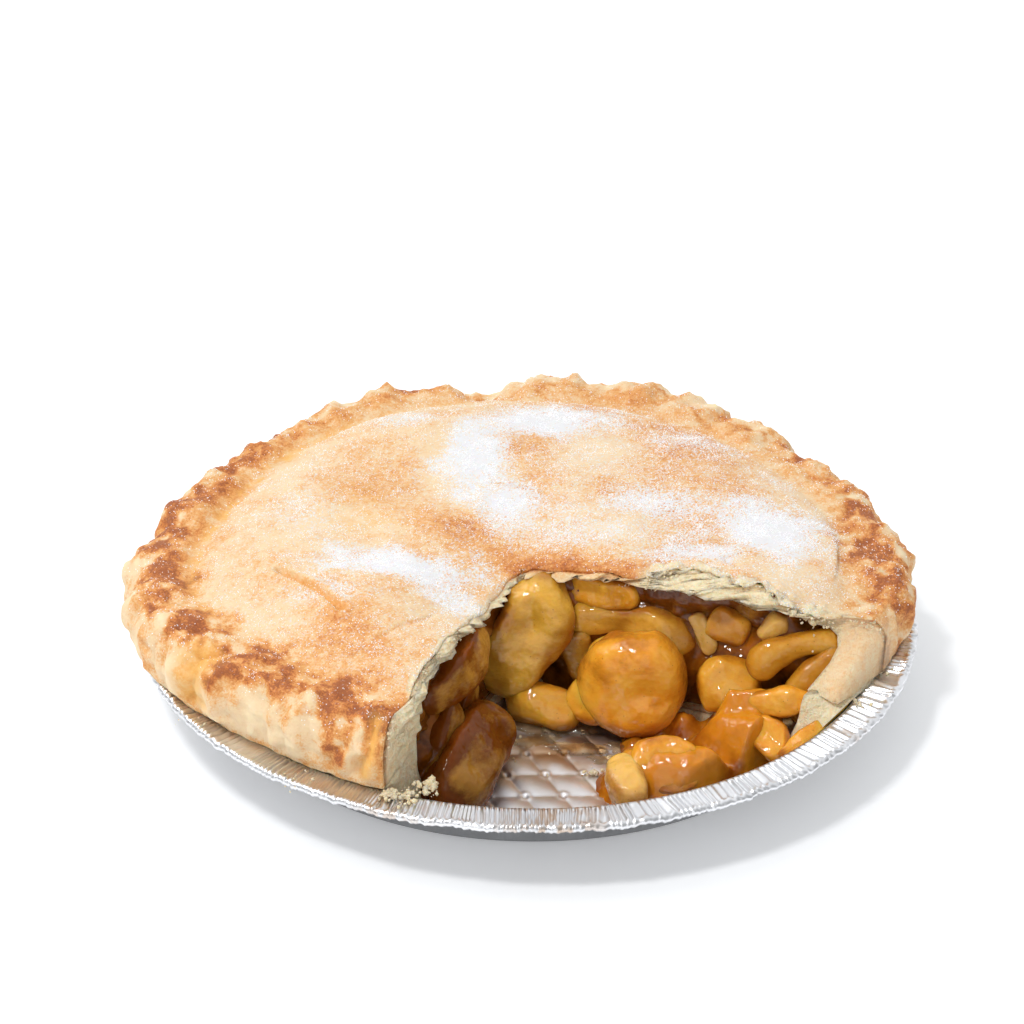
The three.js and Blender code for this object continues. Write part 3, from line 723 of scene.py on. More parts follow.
# Paths in plan of the vent slit, the fine cracks and the edge torn beside the crease.
VENT_SLIT = ((-74.5, -28.6), (-67.7, -34.2), (-61.5, -40.2), (-54.6, -50.5))
FINE_CRACKS = (
    ((-44, -66), (-38, -58.5), (-31, -52.5), (-28, -47.5)),
    ((-11.2, 30.4), (-5.8, 29.3), (1.8, 26.3)),
    ((62, -25), (58, -17), (66, -12), (78, -17)),
)
TORN_EDGE = ((92.5, -19), (94.4, -12), (94.8, -4), (96.9, 3), (101, 9))
# Pleats pressed into the outer wall: direction, half width in degrees, depth in millimetres.
PLEATS = (
    (206.5, 2, 1.3), (215, 3, 2.6), (223, 2.4, 0.7), (232, 2, 1.2), (241.5, 1.6, 0.7),
    (246.6, 1.4, 1.5), (197, 2.4, 1), (186, 2.2, 0.9), (174, 2.4, 0.8), (161, 2.4, 1),
    (148, 2.4, 0.7), (137, 2.4, 0.9), (124, 2.4, 0.8), (113, 2.4, 1), (101, 2.2, 0.8),
    (91, 2.8, 1.2), (79, 2.4, 1), (70, 2.2, 1.2), (57, 2.6, 1.2), (44.5, 2.6, 1.2),
    (31, 2.4, 1.2), (17, 2.4, 1.2), (4, 2.2, 1.2), (-8, 2, 1),
)
# Layers of faces across the crust and across the filling in a cut.
CUT_LAYERS = 9
FILLING_LAYERS = 46
# The lid's broken edge over the right cut: distances from the corner, and how far the top and
# the underside break back there, fading over a reach into the pie.
BROKEN_AT = (34, 40, 44, 50, 56, 62, 68, 80, 90, 100)
BROKEN_TOP = (0, 0.5, 3.2, 7, 9, 7.6, 6, 4.2, 1.8, 0.6)
BROKEN_UNDER = (0, -1.2, -0.4, 3, 5.6, 6.8, 7.8, 7, 4.8, 1)
BROKEN_REACH = 17.0


def chunks(t, end):
    """Broken pastry along a cut: the size of a noise, so rounded chunks with cracks between."""
    along = in_plan(t, 0 * t + 40 * end)
    return 2 * np.abs(noise(along, 12, 2, 23)) - 0.45 + 0.18 * noise(along, 3, 2, 24)


def rim_place(inward, z):
    """One coordinate across the rim: about 9 on the crest, 19 in the crease, -11 at the foot."""
    return inward + 0.8 * (z - 40)


def rounding(gap, radius):
    """How far a rounded edge falls back at a distance gap from the cut: a quarter circle."""
    inside = radius - np.minimum(gap, radius)
    return radius - np.sqrt(np.clip(radius**2 - inside**2, 0, None))


def corner_round(t):
    """How far the lid's corner is drawn out: its rounding, times exp(-(t / 5) ** 1.5)."""
    bisector = np.radians(0.5 * (CUT_LEFT + CUT_RIGHT) + 180)
    forward = np.array([math.cos(bisector), math.sin(bisector), 0.0])
    return (CORNER_ROUND * np.exp(-((t / 5) ** 1.5)))[..., None] * forward


def lid_sections(phi, edge, direction):
    """The lid's sections: up the rim, over crest, crease and dome; and its underside.

    Smooth curves run through control points of distance from the corner and height.
    """
    reach = folds(direction, 0)[1]
    lift = folds(direction, CREST_IN)[0]

    def dome(t):
        return dome_height(*from_corner(t, phi))

    def under(t):
        return dome(t) - lid_thickness(*from_corner(t, phi))

    crest = CREST_Z + lift - CREST_DIP * bell(turn(direction, 92), 5)
    crease_t = edge - CREASE_IN
    crease = np.minimum(dome(crease_t), CREST_Z + 1.6) - 0.2 - 2 * bell(turn(direction, 158), 40)
    shoulder = crease_t - CREASE_WIDTH
    outer = stacked(
        (edge - 0.8 + 0.4 * reach, RIM_Z), (edge - 0.8 + 0.8 * reach, RIM_Z + 4.5),
        (edge - 0.6 + reach, RIM_Z + 10), (edge - 1.4 + reach, CREST_Z - 4.4),
        (edge - 4.4 + 0.7 * reach, crest - 0.8 - 0.1 * lift), (edge - CREST_IN, crest),
        (crease_t, crease), (crease_t - 5, lerp(crease, dome(crease_t - 5), 0.38)),
        (crease_t - 13, lerp(crease, dome(crease_t - 13), 0.74)),
        (crease_t - 26, dome(crease_t - 26)), (0.58 * shoulder, dome(0.58 * shoulder)),
        (0.32 * shoulder, dome(0.32 * shoulder)), (4, dome(4)), (CORNER_TIP, dome(CORNER_TIP)),
    )
    wall = distance_to_radius(phi, wall_radius(direction))
    flare = wall_flare(direction)
    inner = stacked(
        (wall, SEAM_Z), (wall - 0.3 + 0.4 * flare, 30), (wall - 0.6 + 0.8 * flare, 33.5),
        (wall - 1.8 + flare, 37), (wall - 5 + flare, np.minimum(39.8, under(wall - 5))),
        (wall - 10 + 0.6 * flare, np.minimum(41.6, under(wall - 10))),
        (wall - 16, under(wall - 16)), (0.85 * shoulder, under(0.85 * shoulder)),
        (0.74 * shoulder, under(0.74 * shoulder)), (0.58 * shoulder, under(0.58 * shoulder)),
        (0.32 * shoulder, under(0.32 * shoulder)), (CORNER_TIP, under(CORNER_TIP)),
    )
    outer = smooth_curve(outer, 186, lambda u: 0.85 + 0.9 * ease(u, 0.36, 0.24))
    return outer, smooth_curve(inner, 37)


def pleat_relief(direction):
    """Pleats in the rim's wall: each a sharp valley with a soft ridge at either side."""
    pleat = 0
    for centre, width, depth in PLEATS:
        gap = np.abs(turn(direction, centre)) / width
        valley = 1.3 * depth * np.clip(1 - gap, 0, 1) ** 1.3
        pleat = pleat - valley + 0.5 * depth * bell(gap - 1.5, 0.55)
    return pleat


def wall_relief(points):
    """Flaky pastry on the rim's wall: three noises drawn out upwards, two of them folded."""
    upright = noise(points * (1, 1, 0.35), 6, 4, 3)
    flaky = np.abs(noise(points * (1, 1, 0.3), 4, 2, 10))
    flakes = 2.4 * np.abs(noise(points * (1, 1, 0.5), 9, 3, 9)) - 0.6
    return 0.9 * upright + 0.6 * np.clip(flakes, -0.6, 0.6) + 1.1 * flaky - 0.3


def torn_edge(x, y, direction):
    """How far the pastry stands up inside the torn edge, and how far it dips outside."""
    tear = distance_to_path(x, y, TORN_EDGE)
    inside = ease(np.hypot(x, y), 95.6, 94.6) * bell(turn(direction, -4), 9)
    return 1.4 * inside * bell(tear, 6), 0.8 * (1 - inside) * bell(tear, 3)


def ragged_edges(points, t, from_right, from_left):
    """The lid with its edges pushed out of both cuts by chunks that fade within the pie."""
    for end, gap in ((0, from_right), (-1, from_left)):
        fade = np.exp(-gap / 2.2)
        lid = ease(t, 5, 14) * (1 - 0.6 * ease(t, 92, 104))
        ragged = 0.2 * ease(t, 8, 20) if end else ease(t, 34, 46)
        amount = fade * lid * (0.1 + (0.3 + 1.9 * ragged) * chunks(t, end))
        points = points + amount[..., None] * out_of_cut(end)
    return points


def broken_underside(below, t, from_right):
    """The lid's underside broken back in chunks over the right cut, and sagging there."""
    ragged = chunks(t, 0) * ease(t, 34, 46) * ease(t, 98, 88)
    gap = distance_to_cut(t, from_right)
    back = np.interp(t, BROKEN_AT, BROKEN_UNDER) * np.exp(-gap / BROKEN_REACH)
    back = back - 1.2 * ragged * np.exp(-gap / 3)
    below = below - back[..., None] * out_of_cut(0)
    sag = (0.9 - 0.6 * ease(t, 34, 44)) * ease(t, 3, 12)
    sag = (sag + ragged) * ease(t, 97, 88)
    below[..., 2] -= np.exp(-gap / 6) * sag
    return below


def rim_browning(points, x, y, place):
    """Brown and golden shares of the rim's patches: ovals with craggy edges."""
    craggy = 0.55 * noise(points * (1, 1, 0.7), 8, 4, 39)
    brown, golden = np.zeros_like(place), np.zeros_like(place)
    for centre, middle, half_round, half_across, amount in RIM_PATCHES:
        round_gap = np.radians(turn(direction_of(x, y), centre)) * np.hypot(x, y) / half_round
        inside = 1 - np.hypot(round_gap, (place - middle) / half_across) + craggy
        brown = np.maximum(brown, amount * ease(inside, -0.2, 0.7))
        golden = np.maximum(golden, amount * ease(inside, -0.9, 0.2))
    return brown, golden


def sugar_cover(points, x, y):
    """Sugar on the lid: a thin cover, and over it drifts that are uneven bells."""
    sugar = 0.20 + 0.10 * ease(x, -50, 20)
    uneven = 1 + 0.35 * noise(points, 10, 3, 43)
    for drift_x, drift_y, spread_x, spread_y, amount in SUGAR_DRIFTS:
        far = np.hypot((x - drift_x) / spread_x, (y - drift_y) / spread_y)
        sugar = np.maximum(sugar, amount * bell(far * uneven, 1))
    return sugar


def top_crust_shape():
    """The lid and crimped rim as one carried section, with its relief and its marks.

    Pleats, flakes, a vent slit, cracks, a torn edge and a pit are added along the surface's
    normals. The cut edges are rounded by quarter circles and pushed out in chunks, and the
    lid is broken back over the right cut.
    """
    def crowd(u):
        return 1 + 3.2 * bell(u, 0.016) + 3.2 * bell(u - 1, 0.016) + 0.5 * bell(u - 0.84, 0.05)

    sweep = CUT_LEFT - CUT_RIGHT
    share = spread_evenly(404, crowd)
    phi = lerp(CUT_RIGHT, CUT_LEFT, share)
    edge = distance_to_outline(phi)
    outer, inner = lid_sections(phi, edge, direction_of(*from_corner(edge, phi)))
    t, z = outer[..., 0], outer[..., 1]
    points = pastry_point(share[:, None], t, z) + corner_round(t)
    below = pastry_point(share[:, None], inner[..., 0], inner[..., 1], INNER_REACH)
    below = below + corner_round(inner[..., 0])

    # places on the rim and the dome
    x, y = points[..., 0], points[..., 1]
    round_ = direction_of(x, y)
    inward = edge[:, None] - t
    above_foot = ease(z, RIM_Z + 0.5, RIM_Z + 4)
    on_wall = (1 - ease(inward, 3, 9)) * above_foot
    on_pleat = (1 - ease(inward, 7, 16)) * above_foot
    on_crest = bell(inward - 7, 8.5)
    on_dome = ease(inward, 14, 24)
    slit = distance_to_path(x, y, VENT_SLIT)
    crack = np.minimum.reduce([distance_to_path(x, y, path) for path in FINE_CRACKS])
    pit = bell(np.hypot(x - 104.5, y - 5.5) / 3.4, 1)

    # relief along the normals
    wander = 1.6 * noise(points * (0.35, 0.35, 1), 6, 2, 5)
    pleat = pleat_relief(round_ + wander - FOLD_SLANT * np.maximum(inward, 0))
    relief = on_pleat * pleat + on_wall * wall_relief(points)
    crags = np.clip(2.2 * np.abs(noise(points, 12, 3, 7)) - 0.5, -0.5, 0.4)
    relief = relief + on_crest * (0.8 * crags + 0.5 * noise(points, 3.2, 3, 11))
    waves = 0.7 * noise(points, 24, 2, 17)
    relief = relief + on_dome * (waves + 0.26 * noise(points, 6, 3, 19))
    relief = relief - 2.4 * bell(slit, 0.9) * on_dome + 0.9 * bell(slit - 2.2, 1.3) * on_dome
    relief = relief - 0.8 * bell(crack, 0.6) * on_dome
    lip, dip = torn_edge(x, y, round_)
    relief = relief + lip - dip
    relief = relief - 3.4 * pit
    normals = normals_of(points)
    if normals[..., 2].mean() < 0:
        normals = -normals

    # the cut edges: rounded, lumpy where the lid is broken, and ragged
    from_right = (sweep * share)[:, None]
    from_left = (sweep * (1 - share))[:, None]
    right_gap, left_gap = distance_to_cut(t, from_right), distance_to_cut(t, from_left)
    uneven = 1 + 0.5 * noise(in_plan(t, 0 * t), 6, 2, 21)
    right_round = (0.8 + 1.3 * (1 - ease(t, 36, 46))) * uneven
    left_round = (0.9 + 0.9 * (1 - ease(t, 30, 44))) * uneven
    drop = np.maximum(rounding(right_gap, right_round), rounding(left_gap, left_round))
    cut_fade = np.minimum(ease(share, 0, 0.012), ease(1 - share, 0, 0.012))[:, None]
    relief = relief * (0.35 + 0.65 * cut_fade) * ease(t, 2, 14)
    lumpy = 2.8 * np.abs(noise(points, 7, 2, 49)) - 0.6 + 0.5 * noise(points, 2.6, 2, 50)
    broken = ease(t, 38, 46) * ease(t, 100, 92) * ease(right_gap, 9, 3)
    relief = relief + 1.2 * broken * lumpy
    points = points + normals * (relief - drop)[..., None]
    points = ragged_edges(points, t, from_right, from_left)
    back = np.interp(t, BROKEN_AT, BROKEN_TOP) * np.exp(-right_gap / BROKEN_REACH)
    points = points - back[..., None] * out_of_cut(0)
    below = broken_underside(below, inner[..., 0], from_right)

    # how brown it is baked, with painted shade in the pit, the cracks, the slit and the pleats
    mottle = noise(points, 4, 3, 27)
    bake = 0.30 + on_dome * (0.14 * noise(points, 26, 2, 29) + 0.05 * mottle)
    bake = bake + on_crest * (0.10 + 0.16 * mottle + 0.12 * noise(points, 12, 2, 31))
    bake = bake - 0.15 * on_wall + 0.28 * on_wall * noise(points * (1, 1, 0.5), 7, 4, 37)
    bake = bake + 0.42 * bell(right_gap, 8) * ease(t, 50, 36) * on_dome
    wobble = 1 + 0.45 * noise(points, 9, 3, 41)
    for spot_x, spot_y, spread, amount in BROWN_SPOTS:
        bake = bake + amount * bell(np.hypot(x - spot_x, y - spot_y), spread * wobble)
    brown, golden = rim_browning(points, x, y, rim_place(inward, z))
    browner = 0.10 * bell(turn(round_, 180), 62) * ease(inward, 18, 10)
    bake = bake + browner + 0.21 * golden * (1 + mottle) + brown * (0.28 + 0.24 * mottle)
    bake = bake + 0.26 * on_wall * ease(from_right, 9, 2) * ease(t, 96, 102)
    # Painted shade: the pit, the fine cracks and the vent slit are browned to stand for the shade in them.
    bake = bake + 0.5 * pit + (0.12 * bell(crack, 0.7) + 0.12 * bell(slit, 0.7)) * on_dome
    # Painted shade and light: pleat valleys are browned a little and their ridges paled.
    bake = np.clip(bake - 0.06 * on_pleat * np.clip(pleat, -1.5, 1.5) * (1 - brown), 0, 1)

    # sugar, oily creases and bare crumb
    sugar = sugar_cover(points, x, y) * ease(z, CREST_Z - 5, CREST_Z) * (0.3 + 0.7 * on_dome)
    sugar = sugar * (1 - 0.7 * bell(right_gap, 6) * ease(t, 50, 36)) * (1 - bell(slit, 1.8))
    butter = bell(inward - CREASE_IN, 2.2) * bell(turn(round_, 160), 38) * ease(mottle, -0.4, 0.2)
    for centre, width in ((215, 2.6), (247.5, 1.2)):
        butter = np.maximum(butter, on_wall * bell(turn(round_ + wander, centre), width))
    butter = np.maximum(butter, 0.5 * bell(slit, 1.3) * on_dome)
    butter = np.maximum(butter, 0.5 * bell(np.hypot(x + 50, y - 8), 12) * ease(mottle, -0.3, 0.4))
    bare = 0.45 * ease(from_right, 5, 1) * ease(z, 42.5, 38) * ease(t, 96, 102)
    flaked = right_gap - 3 - 3.2 * noise(points, 5, 3, 45)
    bare = np.maximum(bare, ease(flaked, 1.2, -0.6) * ease(t, 38, 46) * on_dome)
    flaked = left_gap - 0.8 - 1.2 * noise(points, 3, 3, 46)
    bare = np.maximum(bare, ease(flaked, 0.8, -0.6) * ease(t, 14, 24) * on_dome)
    marks = {"bake": bake, "sugar": np.clip(sugar, 0, 1), "butter": butter, "crumb": bare}
    return share, (outer, inner), points, below, marks, normals


def crust_cut_swell(share, near, far, strength, leans):
    """The relief of a crust's cut faces, and the bend of the seam between its two surfaces.

    The right and the left face lean out of the cut by the two leans and are crumbly; both
    fade to nothing at the two surfaces as the sine of the depth does, and less of them
    remains inside the rim.
    """
    near_spots = np.linspace(0, 1, near.shape[1])
    far_spots = np.linspace(0, 1, far.shape[1])

    def swell(station, depth, column):
        end = 0 if station == 0 else 1
        near_at = rows_between(column, near_spots, near[station])
        far_at = rows_between(column, far_spots, far[station])
        t = (near_at + (far_at - near_at) * depth[..., None])[..., 0]
        z = near_at[..., 1] - 6 * depth
        place = np.stack(np.broadcast_arrays(t, z, 0 * t + end * 50), axis=-1)
        hump = np.sin(np.pi * depth) * (1 - 0.75 * ease(t, 88, 98))
        crumbly = 2.4 * np.abs(noise(place, 6.5, 3, 47)) - 0.35 + 0.5 * noise(place, 2.6, 2, 48)
        crumbly = crumbly + 0.8 * ease(t, 88, 98) * noise(place, 3.5, 3, 52)
        amount = hump * (strength * crumbly + leans[end])
        return amount[..., None] * out_of_cut(end) + section_bulge(share[station], near_at, far_at, depth)

    def seam(depth):
        return section_bulge(share[:, None], near[:, :1], far[:, :1], depth[None, :])

    return swell, seam


class PIE_OT_top_crust(bpy.types.Operator):
    """Build the lid and crimped rim, browned on its folds and dusted with sugar"""

    bl_idname = "pie.top_crust"
    bl_label = "Top Crust"

    def execute(self, context):
        share, sections, outer, inner, skin, normals = top_crust_shape()
        swell, seam = crust_cut_swell(share, *sections, 2, (0, 0.7))
        points, quads, depth, _ = carried_solid(outer, inner, CUT_LAYERS, swell, seam)
        ring = outer.shape[1] + 2 * (CUT_LAYERS - 1) + inner.shape[1]
        stations, columns = outer.shape[:2]
        count = stations * ring
        far = off_corner(points)
        smooth_lip = ease(far, 48, 38) * ease(points[:, 0], -6, 2)
        in_rim = ease(far, 92, 104)
        marks = {
            "bake": 0.10 + 0.40 * smooth_lip + 0.32 * in_rim,
            "sugar": np.zeros(len(points)),
            "butter": np.zeros(len(points)),
            "crumb": np.where(depth > 0.0, 1.0 - 0.7 * smooth_lip - 0.45 * in_rim, 0.0),
        }
        for mark, values in skin.items():
            marks[mark][:count].reshape(stations, ring)[:, :columns] = values
        make_piece("crust_lid_and_rim", points, quads, MATERIALS["crust"], ["top_crust"], "crust_top", marks)
        SURFACES["lid"] = (outer, normals, skin["sugar"])
        SURFACES["underside"] = inner
        return {"FINISHED"}


def bottom_crust_shape():
    """The bottom crust's section, against the tin outside and round the filling inside."""
    share = spread_evenly(150, lambda u: 1 + 4 * bell(u, 0.02) + 4 * bell(u - 1, 0.02))
    phi = lerp(CUT_RIGHT, CUT_LEFT, share)
    direction = direction_of(*from_corner(TIN_BASE_R, phi))

    def to_radius(radius):
        return distance_to_radius(phi, radius)

    wall = to_radius(wall_radius(direction))
    lip = to_radius(np.minimum(TIN_FLANGE_R + 1, rim_outline(direction) - 1.6))
    base = to_radius(TIN_BASE_R - 9)
    under = FOIL + 0.35
    floor = under + BASE_CRUST
    outer = stacked(
        (lip, TIN_FLANGE_Z + FOIL + 0.5), (to_radius(TIN_FLANGE_R - 1), TIN_FLANGE_Z + FOIL + 0.4),
        (to_radius(TIN_FLANGE_R - 8.2), 13), (to_radius(TIN_CORNER_R - 1.4), TIN_CORNER_Z + 0.6),
        (to_radius(TIN_BASE_R), under + 0.5), (base, under), (0.5 * base, under), (CORNER_IN, under),
    )
    inner = stacked(
        (lip, RIM_Z + 0.1), (lerp(wall, lip, 0.5), lerp(SEAM_Z, RIM_Z, 0.5) + 0.1),
        (wall + 0.2, SEAM_Z + 0.3), (wall - 1.4, 16), (wall - 6, 7.4), (base - 5, floor),
        (0.5 * base, floor), (CORNER_IN, floor),
    )
    outer = smooth_curve(outer, 97)
    inner = smooth_curve(inner, 49)
    points = pastry_point(share[:, None], outer[..., 0], outer[..., 1])
    below = pastry_point(share[:, None], inner[..., 0], inner[..., 1], INNER_REACH)
    return share, (outer, inner), points, below


class PIE_OT_bottom_crust(bpy.types.Operator):
    """Build the pale bottom crust that lines the tin"""

    bl_idname = "pie.bottom_crust"
    bl_label = "Bottom Crust"

    def execute(self, context):
        share, sections, outer, inner = bottom_crust_shape()
        swell, seam = crust_cut_swell(share, *sections, 0.7, (0.8, 0.8))
        points, quads, _, on_cut = carried_solid(outer, inner, CUT_LAYERS, swell, seam)
        bake = 0.22 + 0.2 * noise(points, 7, 3, 51)
        soaked = ease(points[:, 2], 12, 4)
        broken = ease(turn(direction_of(points[:, 0], points[:, 1]), -12), 4, -2)
        broken = broken * ease(points[:, 2], 14, 20) * ease(points[:, 0], 60, 80)
        marks = {
            "bake": np.clip(bake + 0.25 * soaked, 0, 1),
            "sugar": np.zeros(len(points)),
            "butter": np.zeros(len(points)),
            "crumb": np.clip(np.maximum(on_cut * (1 - 0.5 * soaked), broken), 0, 1),
        }
        make_piece("crust_lining", points, quads, MATERIALS["crust"], ["bottom_crust"], "crust_base", marks)
        return {"FINISHED"}


# ---- filling shape


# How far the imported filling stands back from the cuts, in degrees, and the slices packed in
# its two faces, large ones and then shreds: how many, the least distance from the corner and
# the least height of their middles, the ranges of their half lengths and half widths, and the
# middle and spread of their tilts.
FILLING_BACK = 3.2
PACKED_SLICES = (
    (70, 8, 4, (8, 15), (3, 6), (0.1, 0.5)),
    (90, 40, 8, (3, 6.5), (1.6, 3), (0.3, 0.8)),
)


def filling_shape():
    """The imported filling: the cavity's section carried round, its two faces set back."""
    share = np.linspace(0, 1, 64)
    phi = lerp(CUT_RIGHT, CUT_LEFT, share)
    direction = direction_of(*from_corner(TIN_BASE_R, phi))
    wall = distance_to_radius(phi, wall_radius(direction)) - 0.8
    flare = wall_flare(direction)
    base = distance_to_radius(phi, TIN_BASE_R - 9)
    floor = FOIL + BASE_CRUST + 0.7
    inmost = CORNER_IN + 3

    def under(t):
        x, y = from_corner(t, phi)
        return dome_height(x, y) - lid_thickness(x, y) - 0.3

    below = stacked(
        (wall - 0.4, SEAM_Z), (wall - 1.9, 16.2), (wall - 6.6, 8.2), (base - 7, floor),
        (0.5 * base, floor), (inmost, floor),
    )
    above = stacked(
        (wall - 1.2 + 0.7 * flare, 33), (wall - 3.6 + flare, 36.6),
        (wall - 7.6 + flare, np.minimum(38.6, under(wall - 7.6))), (wall - 18, under(wall - 18)),
        (0.5 * base, under(0.5 * base)), (inmost, under(inmost)),
    )

    def place(curve):
        t, z = curve[..., 0], curve[..., 1]
        behind = bell(t - 66, 14) * ease(z, 20, 26)
        back = FILLING_BACK * (1 + ease(t, 70, 95)) + 3.6 * behind
        x, y = from_corner(t, lerp(CUT_RIGHT + back, CUT_LEFT - FILLING_BACK, share[:, None]))
        return np.stack([x, y, z], axis=-1)

    return place(smooth_curve(below, 121)), place(smooth_curve(above, 121))


def packed_slices(t, z, end):
    """Relief of slices packed in a cut face: the highest of many tilted half-ellipsoids."""
    dice = np.random.default_rng(60 + end)
    height = np.full(np.broadcast(t, z).shape, -1.0)
    for count, nearest, lowest, half_lengths, half_widths, tilts in PACKED_SLICES:
        for _ in range(count):
            centre_t, centre_z = dice.uniform(nearest, 98), dice.uniform(lowest, 44)
            long_, short = dice.uniform(*half_lengths), dice.uniform(*half_widths)
            tilt = dice.normal(*tilts)
            u = (t - centre_t) * math.cos(tilt) + (z - centre_z) * math.sin(tilt)
            v = -(t - centre_t) * math.sin(tilt) + (z - centre_z) * math.cos(tilt)
            dome = np.clip(1 - (u / long_) ** 2 - (v / short) ** 2, 0, 1)
            height = np.maximum(height, dice.uniform(1.4, 3.4) * np.sqrt(dome) - 1)
    return height


class PIE_OT_filling(bpy.types.Operator):
    """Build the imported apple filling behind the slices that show"""

    bl_idname = "pie.filling"
    bl_label = "Apple Filling"

    def execute(self, context):
        below, above = filling_shape()
        spots = np.arange(below.shape[1]) / (below.shape[1] - 1)

        def swell(station, depth, column):
            end = 0 if station == 0 else 1
            low = rows_between(column, spots, below[station])
            high = rows_between(column, spots, above[station])
            place = low + (high - low) * depth[..., None]
            t = off_corner(place)
            height = packed_slices(t, place[..., 2], end) + 0.5 * noise(place, 4, 2, 61)
            inside = np.clip(np.minimum(depth, 1 - depth) * 8, 0, 1)
            inside = inside * np.clip(np.minimum(column, 1 - column) * 30, 0, 1)
            return (height * inside)[..., None] * out_of_cut(end)

        points, quads, *_ = carried_solid(below, above, FILLING_LAYERS, swell)
        t = off_corner(points)
        right, left = (packed_slices(t, points[:, 2], end) for end in (0, 1))
        # Darker towards the dark glaze in the gaps between the packed slices: partly the syrup gathered
        # there, partly painted shade.
        hollow = ease(np.where(points[:, 0] > 0.0, right, left), 0.6, -0.7)
        make_piece(
            "filling_packed", points, quads, MATERIALS["packed"], ["apple_filling"], "filling",
            {"hollow": hollow * 0.75, "edge": np.full(len(points), 0.4)},
        )
        return {"FINISHED"}


# Each slice that shows: its name, flesh, two ends, the bow of its middle, width, thickness,
# the way its thickness faces, how blunt its ends are and how square its section is.
SLICES = (
    ("corner_tall", "olive", (9, -15.5, 43), (-10, -28, 7), (-1, -5.5, 0), 24, 17, (0, -1, 0.4), 3, 2.3),
    ("half_round", "amber", (15.5, -33, 17), (49, -37, 17), (0, -2, 0), 34, 26, (0, -1, 0.4), 2.1, 2.2),
    ("long_upper", "olive", (12.5, -17.5, 29), (51, -32, 28), (0, 0, 2.5), 13, 12, (0, -1, 0.4), 3, 2.8),
    ("chunk_upper", "gold", (13.5, -15, 39), (35, -23, 39), (0, 0, 0), 11, 13, (0, -1, 0.3), 6, 3.4),
    ("behind_corner", "olive", (14, -22, 27.5), (20, -27, 11), (0, 0, 0), 12, 10, (0, -1, 0.4), 3, 2.4),
    ("under_corner", "gold", (-6, -28, 6.5), (19, -34, 7.5), (0, -3, 0), 13, 12, (0, -1, 0.8), 3, 2.4),
    ("pale_upright", "pale", (50.5, -28, 37), (56, -34, 26), (0, 0, 0), 7.5, 6, (0, -1, 0.4), 5, 3),
    ("amber_chunk", "amber", (55, -28, 36), (67, -33, 32), (0, 0, 1), 10, 9, (0, -1, 0.4), 4, 2.6),
    ("knob", "pale", (71.5, -35, 32), (76, -35, 42), (0, 0, 0), 9.5, 9, (0, -1, 0.4), 3, 2.2),
    ("diagonal", "gold", (66, -40, 25), (94, -38, 36), (0, 0, 1.5), 9, 9, (0, -1, 0.5), 3, 2.8),
    ("round_top", "gold", (51.5, -38, 19), (71, -40, 21), (0, 0, 0), 18, 15, (0, -1, 0.4), 2.4, 2.2),
    ("hooked", "gold", (78, -46, 17), (96, -41, 33), (-1, 0, 2), 9, 8, (0, -1, 0.5), 3, 2.6),
    ("front_long", "amber", (60, -45, 13), (90, -49, 19), (0, -3, 3), 10, 10, (0, -1, 0.6), 3, 2.4),
    ("mound_lobe", "amber", (60, -51, 11), (77, -63, 9), (3, 1, 2), 14, 12, (0, -1, 0.9), 2.6, 2.2),
    ("wall_right", "amber", (75, -65, 11), (96, -51, 21), (2, -2, 0), 10, 8, (0, -1, 0.9), 3, 2.4),
    ("front_pale", "pale", (29, -63, 6), (34, -84, 7), (-2, 0, 1), 10, 10, (0, -0.3, 1), 3, 2.4),
    ("front_chunk", "amber", (31, -67, 6), (53, -70, 9), (0, 0, 1.5), 16, 12, (0, -0.8, 1), 5, 3.4),
    # The left cut's slices take the darker brown flesh as painted shade, since that cut faces away from the
    # key light.
    ("left_flat", "brown", (-14, -36, 37.5), (-30, -71, 29), (3, 0, 0), 13, 9, (0.9, -0.4, 0.2), 3, 2.3),
    ("left_upright", "brown", (-23.5, -57, 28), (-31, -79, 9), (3, 0, 1), 10, 9, (0.9, -0.4, 0.2), 3, 2.5),
    ("left_small", "brown", (-18, -46, 27), (-21, -56, 14), (1, 0, 0), 9, 9, (0.9, -0.4, 0.2), 3, 2.4),
    ("left_big", "brown", (-12, -47, 13), (-24, -90, 8), (4, 0, 2), 22, 16, (0.8, -0.4, 0.5), 2.6, 2.2),
    ("left_low", "brown", (-24, -65, 18), (-29, -84, 6), (1, 0, 0), 10, 8, (0.9, -0.4, 0.2), 3, 2.4),
)
# Second lobes of bent slices, in the same terms.
LOBES = {
    "half_round": (
        ((20, -27, 25), (30, -34, 18), (0, 0, 0), 15, 12, (0, -1, 0.4), 2.4, 2.2),
        ((13, -33, 11), (27, -41, 9), (0, 0, 0), 15, 13, (0, -1, 0.6), 2.4, 2.2),
    ),
    "hooked": (((78, -46, 15), (84, -44, 17), (0, 0, 0), 11, 10, (0, -1, 0.5), 2.2, 2.2),),
    "left_big": (((-10, -45, 9), (-16, -56, 12), (0, 0, 0), 15, 14, (0.8, -0.4, 0.5), 2.2, 2.2),),
}
# Slices deep in the cut, and how much painted shade darkens them.
PAINTED_SHADE_SLICES = {
    "pale_upright": 0.30, "amber_chunk": 0.32, "knob": 0.12, "diagonal": 0.22, "hooked": 0.32,
    "round_top": 0.12, "behind_corner": 0.35, "under_corner": 0.15, "chunk_upper": 0.12,
    "left_big": 0.32, "left_low": 0.4, "left_small": 0.3, "left_upright": 0.25,
}
# Slices that the slid syrup laps round, and all that lie in front of the cut with it.
GLAZED_SLICES = ("front_long", "mound_lobe", "wall_right", "front_chunk")
SPILLED_SLICES = (*GLAZED_SLICES, "front_pale")
